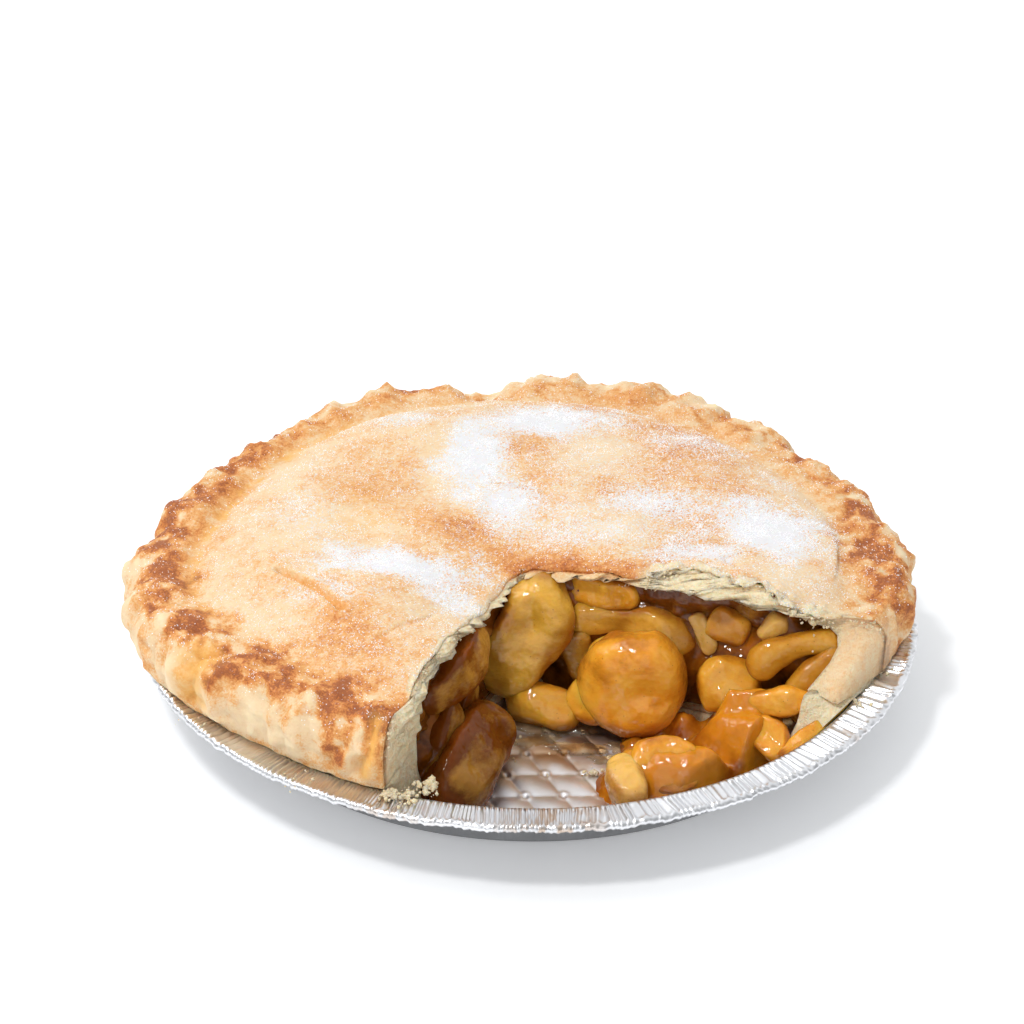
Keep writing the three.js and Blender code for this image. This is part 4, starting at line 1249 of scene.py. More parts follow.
# Pared faces of a slice: tilt from its front in degrees, distance in half thicknesses.
PARED_FACES = ((-8.0, 0.74), (118.0, 0.80), (-100.0, 0.84), (180.0, 0.7))


def slice_shape(start, end, bow, width, thick, face, blunt, square, seed):
    """An apple slice: a squarish oval carried along a bowed line, pared flat on four sides.

    Each pared face draws back what lies beyond a plane along the slice; a small rounding
    keeps its edges soft. The ends are drawn in by (1 - |2u - 1| ** blunt) ** 0.5. Returns
    the points and how near each lies to an edge of the slice.
    """
    start, end, bow, face = (np.array(value, dtype=float) for value in (start, end, bow, face))
    along = (end - start) / np.linalg.norm(end - start)
    side = np.cross(face, along)
    side /= np.linalg.norm(side)
    front = np.cross(along, side)
    dice = np.random.default_rng(seed)
    u = 0.5 - 0.5 * np.cos(np.linspace(0, np.pi, 70))[:, None]
    angle = np.linspace(0, 2 * np.pi, 84, endpoint=False)[None, :]
    draw = np.sqrt(np.clip(1 - np.abs(2 * u - 1) ** blunt, 0, 1))
    taper = 1 + dice.uniform(-0.16, 0.16) * (2 * u - 1)
    across = draw * taper * np.sign(np.cos(angle)) * np.abs(np.cos(angle)) ** (2 / square)
    forward = draw * taper * np.sign(np.sin(angle)) * np.abs(np.sin(angle)) ** (2 / square)
    for tilt, distance in PARED_FACES:
        lean = np.radians(tilt + dice.uniform(-16, 16))
        wanted = distance * dice.uniform(0.92, 1.12)
        beyond = across * math.sin(lean) + forward * math.cos(lean) - wanted
        drawn = 0.5 * (beyond + np.sqrt(beyond**2 + 0.006)) * 0.92
        across = across - drawn * math.sin(lean)
        forward = forward - drawn * math.cos(lean)
    line = start + (end - start) * u[..., None] + bow * (4 * u * (1 - u))[..., None]
    points = line + side * (0.5 * width * across)[..., None] + front * (0.5 * thick * forward)[..., None]
    away = points - line
    away /= np.maximum(np.linalg.norm(away, axis=-1, keepdims=True), 1e-9)
    relief = 2.3 * noise(points, 14, 2, seed) + 0.35 * noise(points, 4.5, 2, seed + 5)
    points = points + away * (relief * np.minimum(draw * 1.4, 1) * min(1, thick / 10))[..., None]
    edge = ease(np.abs(across) + 0 * forward, 0.45, 0.95)
    edge = edge + ease(draw + 0 * forward, 0.75, 0.3)
    return points, np.clip(edge + 0.35 * noise(points, 9, 2, seed + 8), 0, 1)


def inside_tin(points):
    """Points drawn inwards where they would pass through the tin's slanting wall."""
    heights, radii = (FOIL, TIN_CORNER_Z, TIN_FLANGE_Z), (TIN_BASE_R, TIN_CORNER_R, TIN_FLANGE_R)
    limit = np.interp(points[:, 2], heights, radii) - 1
    radius = np.hypot(points[:, 0], points[:, 1])
    shrink = np.where(points[:, 2] < TIN_FLANGE_Z + 2.0, np.minimum(1.0, limit / radius), 1.0)
    return points * np.stack([shrink, shrink, 1 + 0 * shrink], axis=1)


def closed_tube(points):
    """Points and quads of a tube whose first and last rings are drawn to single points."""
    rings, sides = points.shape[:2]
    poles = np.stack([points[0].mean(axis=0), points[-1].mean(axis=0)])
    body = points[1:-1].reshape(-1, 3)
    index = np.arange(len(body)).reshape(rings - 2, sides)
    quads = [grid_quads(index, closed=True)]
    for pole, row in ((len(body), index[0]), (len(body) + 1, index[-1][::-1])):
        nexts = np.roll(row, -1)
        tip = np.full(sides, pole)
        quads.append(np.stack([nexts, row, tip, tip], axis=1))
    return np.concatenate([body, poles]), np.concatenate(quads)


class PIE_OT_slices(bpy.types.Operator):
    """Build every apple slice that shows in the cut"""

    bl_idname = "pie.slices"
    bl_label = "Apple Slices"

    def execute(self, context):
        for number, (name, flesh, *shape) in enumerate(SLICES):
            tubes, edges = [], []
            for form in (shape, *LOBES.get(name, ())):
                rings, edge = slice_shape(*form, seed=100 + 7 * number)
                tubes.append(closed_tube(rings))
                edges.append(np.concatenate([edge[1:-1].ravel(), [1, 1]]))
            points, quads = merged(tubes)
            points[:, 2] = np.maximum(points[:, 2], FOIL + 0.1)
            points = inside_tin(points)
            if name not in SPILLED_SLICES:
                SLICE_POINTS[1 if name.startswith("left") else 0].append(points)
            # Painted shade: slices darken towards the foil, and deep in the cut by a set amount.
            low = ease(points[:, 2], 9, 1.5)
            hollow = np.maximum(0.6 * low, PAINTED_SHADE_SLICES.get(name, 0))
            make_piece(
                "apple_" + name, points, quads, MATERIALS["apple_" + flesh], ["slice_" + name],
                "apple_" + flesh, {"hollow": hollow, "edge": np.concatenate(edges)},
            )
        return {"FINISHED"}


# Cell of the grid over a cut and the grid's size upwards and outwards, how far behind the cut
# it starts, and how far before it the slices count.
GLAZE_CELL = 1.5
GLAZE_SIZE = (46.0, 108.0)
GLAZE_BACK = -6.0
GLAZE_FRONT = 6.5


def blurred(field, reach):
    """The grid smoothed along both axes by a bell of the given reach in cells."""
    offsets = np.arange(-3 * reach, 3 * reach + 1)
    weights = bell(offsets, 1.4 * reach)
    weights = weights / weights.sum()
    for axis in (0, 1):
        margin = [(3 * reach, 3 * reach) if axis == side else (0, 0) for side in (0, 1)]
        padded = np.pad(field, margin, mode="edge")
        cells = np.arange(field.shape[axis])
        field = sum(
            weight * np.take(padded, cells + step, axis=axis) for step, weight in enumerate(weights)
        )
    return field


def sampled(field, row, column):
    """Values of a grid at fractional rows and columns."""
    row = np.clip(row, 0, field.shape[0] - 1.001)
    column = np.clip(column, 0, field.shape[1] - 1.001)
    i, j = row.astype(int), column.astype(int)
    near = lerp(field[i, j], field[i, j + 1], column - j)
    return lerp(near, lerp(field[i + 1, j], field[i + 1, j + 1], column - j), row - i)


def glaze_shape(end):
    """The syrup that webs the slices of a cut: their blurred front faces, set back.

    The foremost point of the slices in each cell of a grid over the cut is taken, the grid
    is blurred, and the sheet stands behind it, so slices come through and gaps are filled.
    Its borders fall back by one minus the root of the distance to them.
    """
    phi = CUT_LEFT if end else CUT_RIGHT
    along = np.array(from_corner(1.0, phi)) - CORNER
    outwards = out_of_cut(end)
    points = np.concatenate(SLICE_POINTS[end])
    plan = points[:, :2] - CORNER
    front = np.full([int(size / GLAZE_CELL) for size in GLAZE_SIZE], GLAZE_BACK)
    row = np.clip(points[:, 2] / GLAZE_CELL, 0, front.shape[0] - 1).astype(int)
    column = np.clip(plan @ along / GLAZE_CELL, 0, front.shape[1] - 1).astype(int)
    np.maximum.at(front, (row, column), plan @ outwards[:2])
    front = blurred(np.clip(front, GLAZE_BACK, GLAZE_FRONT), 2)

    up = np.linspace(0, 1, 90)[:, None]
    out = np.linspace(0, 1, 190)[None, :]
    wall = distance_to_radius(phi, wall_radius(direction_of(*from_corner(TIN_BASE_R, phi))))
    wall_heights = (1, 8, 16, 33, 41)
    insets = np.array((17.0, 7.0, 2.5, 3.0, 11.0))
    t = lerp(8, np.interp(lerp(1, 41, up), wall_heights, wall - insets), out)
    x, y = from_corner(t, phi)
    z = lerp(0.7, dome_height(x, y) - lid_thickness(x, y) - 1.2, up)
    depth = sampled(front, z / GLAZE_CELL - 0.5, t / GLAZE_CELL - 0.5)
    place = np.stack([t, z, 0 * t + 60 * end], axis=-1)
    border = np.clip(np.minimum(np.minimum(out, 1 - out) * 14, (1 - up) * 8), 0, 1)
    depth = depth - 3.6 + noise(place, 7, 2, 77) - 4 * (1 - np.sqrt(border))
    surface = np.stack([x, y, z], axis=-1)
    behind = np.full_like(depth, GLAZE_BACK - 6.0)
    return [surface + w[..., None] * outwards for w in (depth, behind)]


class PIE_OT_glaze(bpy.types.Operator):
    """Build the dark syrup that webs the slices of both cuts"""

    bl_idname = "pie.glaze"
    bl_label = "Syrup Between Slices"

    def execute(self, context):
        parts = [closed_sheet(*glaze_shape(end)) for end in (0, 1)]
        points, quads = merged(parts)
        marks = {"flesh": np.zeros(len(points))}
        make_piece("syrup_between_slices", points, quads, MATERIALS["glaze"], (), "spill", marks)
        return {"FINISHED"}


# Heaps of the slid syrup: plan x, y, spread, height.
SYRUP_HEAPS = (
    (48, -42, 9, 12), (60, -43, 9, 14), (68, -48, 10, 14), (54, -52, 9, 10), (42, -57, 8, 8),
    (70, -59, 10, 13), (80, -50, 11, 15), (91, -50, 9, 17), (38, -68, 8, 7), (52, -70, 9, 8),
    (34, -47, 7, 5), (64, -70, 9, 10),
)


def spill_shape():
    """The mound of syrup: heaps blended by the cube root of their cubes, lapping the slices.

    Each slice that the syrup laps round lifts it to just under its own top.
    """
    share = np.linspace(0, 1, 170)[:, None]
    across = np.linspace(0, 1, 120)[None, :]
    phi = lerp(CUT_RIGHT - 3.4, -74, share)
    t = lerp(22, distance_to_radius(phi, TIN_BASE_R - 1.2), across)
    x, y = from_corner(t, phi)
    plan = in_plan(x, y)
    uneven = 1 + 0.3 * noise(plan, 12, 2, 71)
    heaped = 0
    for heap_x, heap_y, spread, height in SYRUP_HEAPS:
        far = np.hypot(x - heap_x, y - heap_y) * uneven
        heaped = heaped + (height * bell(far, spread)) ** 3
    z = np.cbrt(heaped) + 1.6 * noise(plan, 11, 2, 73)
    flesh = np.zeros_like(z)
    for name, _, start, end, bow, width, thick, *_ in SLICES:
        if name in GLAZED_SLICES:
            length = (end[0] - start[0]) ** 2 + (end[1] - start[1]) ** 2
            along = ((x - start[0]) * (end[0] - start[0]) + (y - start[1]) * (end[1] - start[1])) / length
            along = np.clip(along, 0.1, 0.9)
            middle_x, middle_y = lerp(start[0], end[0], along), lerp(start[1], end[1], along)
            middle_z = lerp(start[2], end[2], along) + 4 * along * (1 - along) * bow[2]
            far = np.hypot(x - middle_x, y - middle_y) / (0.64 * width)
            cover = (middle_z + 0.60 * thick) * np.exp(-(far**3.2))
            z = np.cbrt(np.maximum(z, 0) ** 3 + cover**3)
            flesh = np.maximum(flesh, ease(far, 1.1, 0.5))
    border = np.minimum(np.minimum(across, 1 - across) * 30, np.minimum(share, 1 - share) * 30)
    z = (z - 2.4 + 0.5 * noise(plan, 3, 2, 75)) * np.sqrt(np.clip(border, 0, 1))
    top = np.stack([x, y, np.maximum(z, 0) + 0.3], axis=-1)
    bottom = np.stack([x, y, 0 * x + 0.25], axis=-1)
    return top, bottom, flesh


def closed_sheet(top, bottom):
    """Points and quads of the closed solid between two grids with the same edges in plan."""
    rows, columns = top.shape[:2]
    upper = np.arange(rows * columns).reshape(rows, columns)
    lower = upper + rows * columns
    quads = [grid_quads(upper), grid_quads(lower)[:, ::-1]]
    for a, b in (
        (upper[0], lower[0]), (upper[:, -1], lower[:, -1]),
        (upper[-1][::-1], lower[-1][::-1]), (upper[:, 0][::-1], lower[:, 0][::-1]),
    ):
        quads.append(np.stack([b[:-1], b[1:], a[1:], a[:-1]], axis=1))
    return np.concatenate([top.reshape(-1, 3), bottom.reshape(-1, 3)]), np.concatenate(quads)


class PIE_OT_spill(bpy.types.Operator):
    """Build the amber mound of syrup and soft apple that has slid onto the foil"""

    bl_idname = "pie.spill"
    bl_label = "Spilled Filling"

    def execute(self, context):
        top, bottom, flesh = spill_shape()
        points, quads = closed_sheet(top, bottom)
        marks = {"flesh": np.tile(flesh.ravel(), 2)}
        make_piece("filling_spilled", points, quads, MATERIALS["spill"], ["spilled_filling"], "spill", marks)
        return {"FINISHED"}


# ---- foil tin


# Thickness of the sheet, the flange's top and the bead's inner and low edges, and profiles of
# radius and height: the rim's upper and under side, the wall's inner and outer side.
SHEET = 0.22
FLANGE_TOP = TIN_FLANGE_Z + FOIL
BEAD_IN = TIN_OUTER_R - 3.0
BEAD_LOW = TIN_HEIGHT - 2.6
RIM_UPPER = (
    (TIN_FLANGE_R - 0.9, FLANGE_TOP - 0.9), (TIN_FLANGE_R - 0.2, FLANGE_TOP),
    (BEAD_IN - 0.4, FLANGE_TOP + 0.2), (BEAD_IN + 0.4, TIN_HEIGHT - 0.3),
    (TIN_OUTER_R - 1.5, TIN_HEIGHT - 0.05), (TIN_OUTER_R - 0.5, TIN_HEIGHT - 0.7),
    (TIN_OUTER_R - 0.4, TIN_HEIGHT - 1.6), (TIN_OUTER_R - 1.3, BEAD_LOW + 0.1),
    (TIN_OUTER_R - 2.4, BEAD_LOW + 0.5),
)
RIM_UNDER = (
    (BEAD_IN - 0.6, FLANGE_TOP - SHEET), (TIN_FLANGE_R, FLANGE_TOP - SHEET),
    (TIN_FLANGE_R - 1.1, FLANGE_TOP - 1.1),
)
WALL_INNER = (
    (TIN_FLANGE_R - 0.7, FLANGE_TOP - 0.6), (TIN_CORNER_R, TIN_CORNER_Z), (TIN_BASE_R + 3.4, 1.5),
    (TIN_BASE_R + 0.6, 0.35 + SHEET),
)
WALL_OUTER = (
    (TIN_BASE_R + 0.6, 0.3), (TIN_BASE_R + 3.8, 1.3), (TIN_CORNER_R + 0.3, TIN_CORNER_Z - 0.2),
    (TIN_FLANGE_R - 0.5, FLANGE_TOP - 0.9),
)
# Crimps round the flange, counted as full waves: everywhere, and added at the front.
CRIMPS = 290.0
CRIMPS_FRONT = 230.0
WALL_RIBS = 110.0


def turned_shell(upper, under, steps, count, wave):
    """Two profiles of radius and height joined and turned round the axis, with a wave.

    steps are the distances between points on the two. wave(angle, radius, height) returns
    how far each point moves outwards and upwards.
    """
    profile = np.concatenate([resampled(path, step) for path, step in zip((upper, under), steps)])
    angle = np.linspace(0, 2 * np.pi, count, endpoint=False)[:, None]
    radius = profile[None, :, 0] + 0 * angle
    height = profile[None, :, 1] + 0 * angle
    out, up = wave(angle, radius, height)
    radius, height = radius + out, height + up
    points = np.stack([radius * np.cos(angle), radius * np.sin(angle), height], axis=-1)
    index = np.arange(points.shape[0] * points.shape[1]).reshape(points.shape[:2])
    index = np.concatenate([index, index[:1]], axis=0)
    return points.reshape(-1, 3), grid_quads(index, closed=True)


def resampled(path, step):
    """Points along a path of straight pieces, about a step apart."""
    path = np.array(path, dtype=float)
    parts = []
    for start, end in zip(path[:-1], path[1:]):
        count = max(int(round(np.linalg.norm(end - start) / step)), 1)
        parts.append(lerp(start, end, np.linspace(0, 1, count, endpoint=False)[:, None]))
    return np.concatenate(parts)


def on_cylinder(angle, radius, height):
    """Places for noise that runs round the tin and doesn't stretch with the radius."""
    level = 40 + 0 * radius
    return np.stack([level * np.cos(angle), level * np.sin(angle), height + 0 * radius], axis=-1)


def crimp_phase(angle):
    """The crimps' phase round the tin: finest at the front, uneven from crimp to crimp.

    The phase adds up a rate over many small steps and is scaled to whole turns.
    """
    fine = np.linspace(0, 2 * np.pi, 8001)
    ring = in_plan(60 * np.cos(fine), 60 * np.sin(fine))
    rate = CRIMPS + CRIMPS_FRONT * bell(turn(np.degrees(fine), 258), 34)
    rate = rate * (1 + 0.55 * noise(ring, 1.6, 2, 79))
    phase = np.concatenate([[0], np.cumsum(0.5 * (rate[1:] + rate[:-1]))]) * (fine[1] - fine[0])
    turns = np.round(phase[-1] / (4 * np.pi)) * 4 * np.pi
    return np.interp(angle % (2 * np.pi), fine, phase * turns / phase[-1])


def crimp_wave(angle, radius, height):
    """Crimps across the flange, sharpened sines of uneven depth, and a wavy, dented bead."""
    on_flange = ease(radius, TIN_FLANGE_R - 0.6, TIN_FLANGE_R + 1.5)
    share = on_flange * ease(TIN_OUTER_R - 1, radius, radius + 2)
    flat = on_cylinder(angle, radius, 0)
    uneven = 1 + 0.5 * noise(flat, 1.1, 2, 81)
    phase = crimp_phase(angle)
    slant = 0.5 * noise(flat, 5, 2, 82) * (radius - TIN_FLANGE_R)
    ridge = np.arcsin(0.97 * np.sin(phase + slant)) / 1.33
    up = 0.5 * share * uneven * ridge
    bead = ease(radius, TIN_OUTER_R - 4, TIN_OUTER_R - 1)
    up = up + bead * (0.14 * np.sin(phase * 0.5) + 0.3 * noise(flat, 1.2, 3, 83))
    out = bead * (0.14 * np.sin(phase) * uneven + 0.3 * noise(flat, 1, 2, 85)) - 0.3 * bead
    return out, up


def rib_wave(angle, radius, height):
    """Shallow upright ribs pressed into the wall, strongest half-way up, and soft dents."""
    middle = np.sin(np.pi * np.clip((height - 2) / (TIN_FLANGE_Z - 2), 0, 1))
    flat = on_cylinder(angle, radius, height * 0.6)
    ribs = 0.5 * middle * np.abs(np.sin(WALL_RIBS * angle + 1.6 * np.sin(7 * angle))) ** 1.6
    return -ribs - 0.22 * middle * np.abs(noise(flat, 4, 2, 87)), 0 * height


class PIE_OT_tin(bpy.types.Operator):
    """Build the foil tin: crimped rim, ribbed wall and quilted base"""

    bl_idname = "pie.tin"
    bl_label = "Foil Tin"

    def execute(self, context):
        foil, slot = ["foil_tin"], "foil"
        points, quads = turned_shell(RIM_UPPER, RIM_UNDER, (0.8, 1.6), 2600, crimp_wave)
        round_ = direction_of(points[:, 0], points[:, 1])
        stained = np.maximum(0.7 * bell(turn(round_, 252), 5), bell(turn(round_, 274), 7))
        stained = np.maximum(stained, 0.8 * bell(turn(round_, 323.6), 1.2))
        stained = np.maximum(stained, 0.3 * bell(turn(round_, 354), 5))
        stained = stained * ease(noise(points * (1, 0.5, 1), 1.6, 2, 91), -0.1, 0.3)
        make_piece("tin_rim", points, quads, MATERIALS["foil_rim"], foil, slot, {"stain": stained * 0.55})

        points, quads = turned_shell(WALL_INNER, WALL_OUTER, (1.1, 1.4), 1300, rib_wave)
        clean = np.zeros(len(points))
        make_piece("tin_wall", points, quads, MATERIALS["foil"], foil, slot, {"stain": clean})

        points, quads = closed_sheet(*tin_base_shape())
        x, y = points[:, 0], points[:, 1]
        film = bell(np.hypot((x - 14) / 30, (y + 49) / 13), 1)
        stained = 0.85 * film * ease(noise(points, 9, 3, 93), -0.5, 0.3)
        stained = np.maximum(stained, 0.22 * ease(noise(points, 13, 3, 94), -0.1, 0.5))
        make_piece("tin_base", points, quads, MATERIALS["foil_base"], foil, slot, {"stain": stained})
        return {"FINISHED"}


# The base's dimples: two steps of their lattice and one dimple, in plan.
DIMPLE_STEP = (11.2, 0.6)
DIMPLE_ROW = (-5.4, 10.6)
DIMPLE_AT = (6.1, -62.5)


def tin_base_shape():
    """The base's quilting: dimples on a slanted lattice with soft pads between them.

    Lattice coordinates (a, b) of a plan point are whole numbers at the dimples. A pad's
    height is the product of the sines across its cell, and each dimple is a small deep bell.
    """
    angles = np.radians(270 + 180 * spread_sides(420))[:, None]
    radii = (TIN_BASE_R + 0.8) * np.linspace(0, 1, 116)[None, :] ** 0.75
    x, y = radii * np.cos(angles), radii * np.sin(angles)
    first, second = DIMPLE_STEP, DIMPLE_ROW
    dx, dy = x - DIMPLE_AT[0], y - DIMPLE_AT[1]
    area = first[0] * second[1] - first[1] * second[0]
    a = (dx * second[1] - dy * second[0]) / area
    b = (dy * first[0] - dx * first[1]) / area
    pads = np.abs(np.sin(np.pi * a) * np.sin(np.pi * b)) ** 0.6
    gap_a, gap_b = a - np.round(a), b - np.round(b)
    gap = np.hypot(gap_a * first[0] + gap_b * second[0], gap_a * first[1] + gap_b * second[1])
    fade = 1 - ease(radii + 0 * x, TIN_BASE_R - 7, TIN_BASE_R - 1)
    height = 0.42 + fade * (pads - 0.35 * bell(gap, 0.75) + 0.35 * bell(gap - 1.4, 0.7))
    plan = in_plan(x, y)
    height = height + 0.10 * noise(plan, 20, 2, 95) * fade
    z = np.maximum(height + 0 * x, 0.15)
    top = np.stack([x, y, z], axis=-1)
    bottom = np.stack([x, y, np.maximum(z - SHEET, 0) * fade], axis=-1)
    return top, bottom


def spread_sides(count):
    """Shares from -1 to 1 round the base, crowded into the open quarter near zero."""
    fine = spread_evenly(count, lambda u: 0.4 + 2.2 * bell(u - 0.56, 0.16))
    return 2 * fine - 1


# ---- syrup, crumbs and sugar


def puddle_shape(x, y, half_x, half_y, height, seed):
    """A thin puddle: a flat dome over an uneven outline, in rings round its centre."""
    ring = np.linspace(0, 1, 26)[:, None]
    angle = np.linspace(0, 2 * np.pi, 90, endpoint=False)[None, :]
    outline_at = np.stack([3 * np.cos(angle), 3 * np.sin(angle), 0 * angle + seed], axis=-1)
    outline = 1 + 0.42 * noise(outline_at, 1.3, 3, seed)
    x = x + half_x * ring * outline * np.cos(angle)
    y = y + half_y * ring * outline * np.sin(angle)
    plan = in_plan(x, y)
    body = np.sqrt(np.clip(1 - ring**3, 0, 1))
    z = FOIL + 0.45 + height * body * (1 + 0.35 * noise(plan, 4, 2, seed + 3))
    return np.stack([x, y, z], axis=-1)


def capped_dome(points, floor):
    """Points and quads of a dome of rings (the first drawn to a point) with a flat base."""
    rings, sides = points.shape[:2]
    top = points[0].mean(axis=0)
    body = points[1:].reshape(-1, 3)
    base = points[-1].copy()
    base[:, 2] = floor
    index = np.arange(len(body)).reshape(rings - 1, sides)
    under = len(body) + np.arange(sides)
    pole, foot = len(body) + sides, len(body) + sides + 1
    middle = base.mean(axis=0)
    quads = [grid_quads(index, closed=True), grid_quads(np.stack([index[-1], under]), closed=True)]
    nexts = np.roll(index[0], -1)
    tip = np.full(sides, pole)
    quads.append(np.stack([nexts, index[0], tip, tip], axis=1))
    heel = np.full(sides, foot)
    quads.append(np.stack([under, np.roll(under, -1), heel, heel], axis=1))
    return np.concatenate([body, base, top[None], middle[None]]), np.concatenate(quads)


def merged(parts):
    """One set of points and quads from several."""
    points, quads, offset = [], [], 0
    for part_points, part_quads in parts:
        points.append(part_points)
        quads.append(facing_out(part_points, part_quads) + offset)
        offset += len(part_points)
    return np.concatenate(points), np.concatenate(quads)


# Syrup on the foil: plan x, y, half lengths along x and y, height.
PUDDLES = (
    (16, -49, 10, 3.4, 0.8), (4, -45, 7, 4, 0.7), (24, -55, 5, 2.6, 0.9), (44, -48, 7, 4, 1.4),
    (30, -48, 6, 3, 1), (8, -38, 12, 5, 1.2),
)


class PIE_OT_syrup(bpy.types.Operator):
    """Build the thin syrup left on the bare foil"""

    bl_idname = "pie.syrup"
    bl_label = "Syrup on the Foil"

    def execute(self, context):
        parts = []
        for number, puddle in enumerate(PUDDLES):
            dome = puddle_shape(*puddle, 120 + 9 * number)
            parts.append(capped_dome(dome, FOIL + 0.05))
        points, quads = merged(parts)
        marks = {"flesh": np.ones(len(points))}
        make_piece("syrup_film", points, quads, MATERIALS["film"], (), "spill", marks)
        return {"FINISHED"}


def copies(shapes, quads, turns, places, radii):
    """Points and quads of many small shapes, each turned, scaled and moved to its place."""
    points = places[:, None, :] + np.einsum("nij,nvj->nvi", turns, shapes) * radii[:, None, None]
    all_quads = quads[None] + (np.arange(len(places)) * shapes.shape[1])[:, None, None]
    return points.reshape(-1, 3), all_quads.reshape(-1, 4)


def scattered_lumps(places, radii, seed):
    """Small uneven lumps: rings of jittered points round each place, closed at both ends."""
    dice = np.random.default_rng(seed)
    rings, sides = 4, 6
    polar = np.linspace(0, np.pi, rings + 1)[1:-1, None]
    angle = np.linspace(0, 2 * np.pi, sides, endpoint=False)
    ball = on_ball(polar, angle).reshape(-1, 3)
    ball = np.concatenate([[[0, 0, 1]], ball, [[0, 0, -1]]])
    turns = random_turns(dice, len(places))
    jitter = 1 + dice.uniform(-0.32, 0.32, (len(places), len(ball), 1))
    stretch = dice.uniform(0.6, 1.25, (len(places), 1, 3))
    index = 1 + np.arange((rings - 1) * sides).reshape(rings - 1, sides)
    top = np.zeros(sides, dtype=int)
    bottom = np.full(sides, len(ball) - 1)
    quads = np.concatenate([
        grid_quads(index, closed=True),
        np.stack([np.roll(index[0], -1), index[0], top, top], axis=1),
        np.stack([index[-1], np.roll(index[-1], -1), bottom, bottom], axis=1),
    ])
    return copies(ball[None] * jitter * stretch, quads, turns, places, radii)


def broken_bit(centre, half_sizes, seed):
    """A broken bit of crust: the rings of an ellipsoid with a rough noise on its radius."""
    polar = np.linspace(0, np.pi, 26)[:, None]
    angle = np.linspace(0, 2 * np.pi, 34, endpoint=False)[None, :]
    ball = on_ball(polar, angle)
    radius = 1 + 0.5 * noise(ball + seed, 0.9, 4, seed)
    return np.array(centre) + ball * radius[..., None] * np.array(half_sizes)


def random_turns(dice, count):
    """Random rotation matrices, from random unit quaternions."""
    q = dice.normal(size=(count, 4))
    q /= np.linalg.norm(q, axis=1, keepdims=True)
    w, x, y, z = q.T
    return np.stack([
        np.stack([1 - 2 * (y * y + z * z), 2 * (x * y - w * z), 2 * (x * z + w * y)], axis=1),
        np.stack([2 * (x * y + w * z), 1 - 2 * (x * x + z * z), 2 * (y * z - w * x)], axis=1),
        np.stack([2 * (x * z - w * y), 2 * (y * z + w * x), 1 - 2 * (x * x + y * y)], axis=1),
    ], axis=1)


# Heaps of crumbs: plan x, y, height of what they lie on, spread, how many, largest radius.
CRUMB_HEAPS = (
    (-36, -108, 23.6, 4.6, 50, 0.9), (-28, -103, 23.2, 4.4, 46, 1),
    (20, -62, 1.4, 4, 10, 0.6), (99, -56, 23.6, 3, 14, 0.5), (107, -37, 23.6, 3, 16, 0.5),
    (0, -55, 1.4, 14, 10, 0.4),
    (-62, -100, 23.8, 7, 12, 0.35), (-96, -70, 23.8, 7, 10, 0.35),
)
# Broken pieces of crust: plan x, y, height of the middle, half sizes along x, y and z.
BROKEN_BITS = (
    (-37.5, -107, 23.9, 2.6, 1.2, 0.8), (-32.4, -106.2, 24, 1.4, 1.1, 0.8),
    (-26.4, -101, 23.4, 1.8, 1.2, 1.2), (21, -62.5, 1.9, 1.2, 0.9, 0.7),
    (106, -33, 24.2, 2.4, 1.6, 0.9),
)


# How many crumbs lie along each cut's top edge and on the lid's broken edge.
EDGE_CRUMBS = 140
BROKEN_EDGE_CRUMBS = 110


def crumb_places(dice):
    """Places and sizes of the crumbs: in heaps, along both top edges, on the broken edge."""
    amount = sizes().crumbs
    for x, y, z, spread, count, largest in CRUMB_HEAPS:
        size = largest * dice.uniform(0.15, 1, int(count * amount)) ** 1.6 + 0.12
        plan = dice.normal(0, spread * 0.5, (len(size), 2)) + (x, y)
        yield np.column_stack([plan, z + 0.6 * size]), size
    outer, under = SURFACES["lid"][0], SURFACES["underside"][0]
    for end in (0, -1):
        chosen = dice.integers(30, outer.shape[1] - 34, int(EDGE_CRUMBS * amount))
        size = dice.uniform(0.12, 0.5, len(chosen))
        spots = outer[end, chosen] + out_of_cut(end) * dice.uniform(-0.6, 1.6, (len(chosen), 1))
        spots[:, 2] -= dice.uniform(0, 3.2, len(chosen))
        yield spots, size
    far_along = off_corner(under)
    order = np.argsort(far_along)
    reach = off_corner(outer[0])
    broken = np.flatnonzero((reach > 43) & (reach < 96) & (outer[0, :, 2] > CREST_Z))
    chosen = dice.choice(broken, int(BROKEN_EDGE_CRUMBS * amount))
    lower = rows_between(reach[chosen], far_along[order], under[order])
    spots = lerp(outer[0, chosen], lower, dice.uniform(0.2, 1, (len(chosen), 1)))
    yield spots + dice.normal(0, 0.5, spots.shape), 0.3 + 1.3 * dice.random(len(chosen)) ** 4


class PIE_OT_crumbs(bpy.types.Operator):
    """Scatter crumbs of pastry on the foil and along the cut edges"""

    bl_idname = "pie.crumbs"
    bl_label = "Crumbs"

    def execute(self, context):
        places, radii = zip(*crumb_places(np.random.default_rng(7)))
        lumps = [scattered_lumps(np.concatenate(places), np.concatenate(radii), 8)]
        for number, bit in enumerate(BROKEN_BITS):
            lumps.append(closed_tube(broken_bit(bit[:3], bit[3:], 200 + number)))
        points, quads = merged(lumps)
        count = len(points)
        marks = {"bake": np.full(count, 0.20), "sugar": np.zeros(count), "crumb": np.full(count, 0.8)}
        make_piece("crumbs", points, quads, MATERIALS["crust"], (), "crust_base", marks)
        return {"FINISHED"}


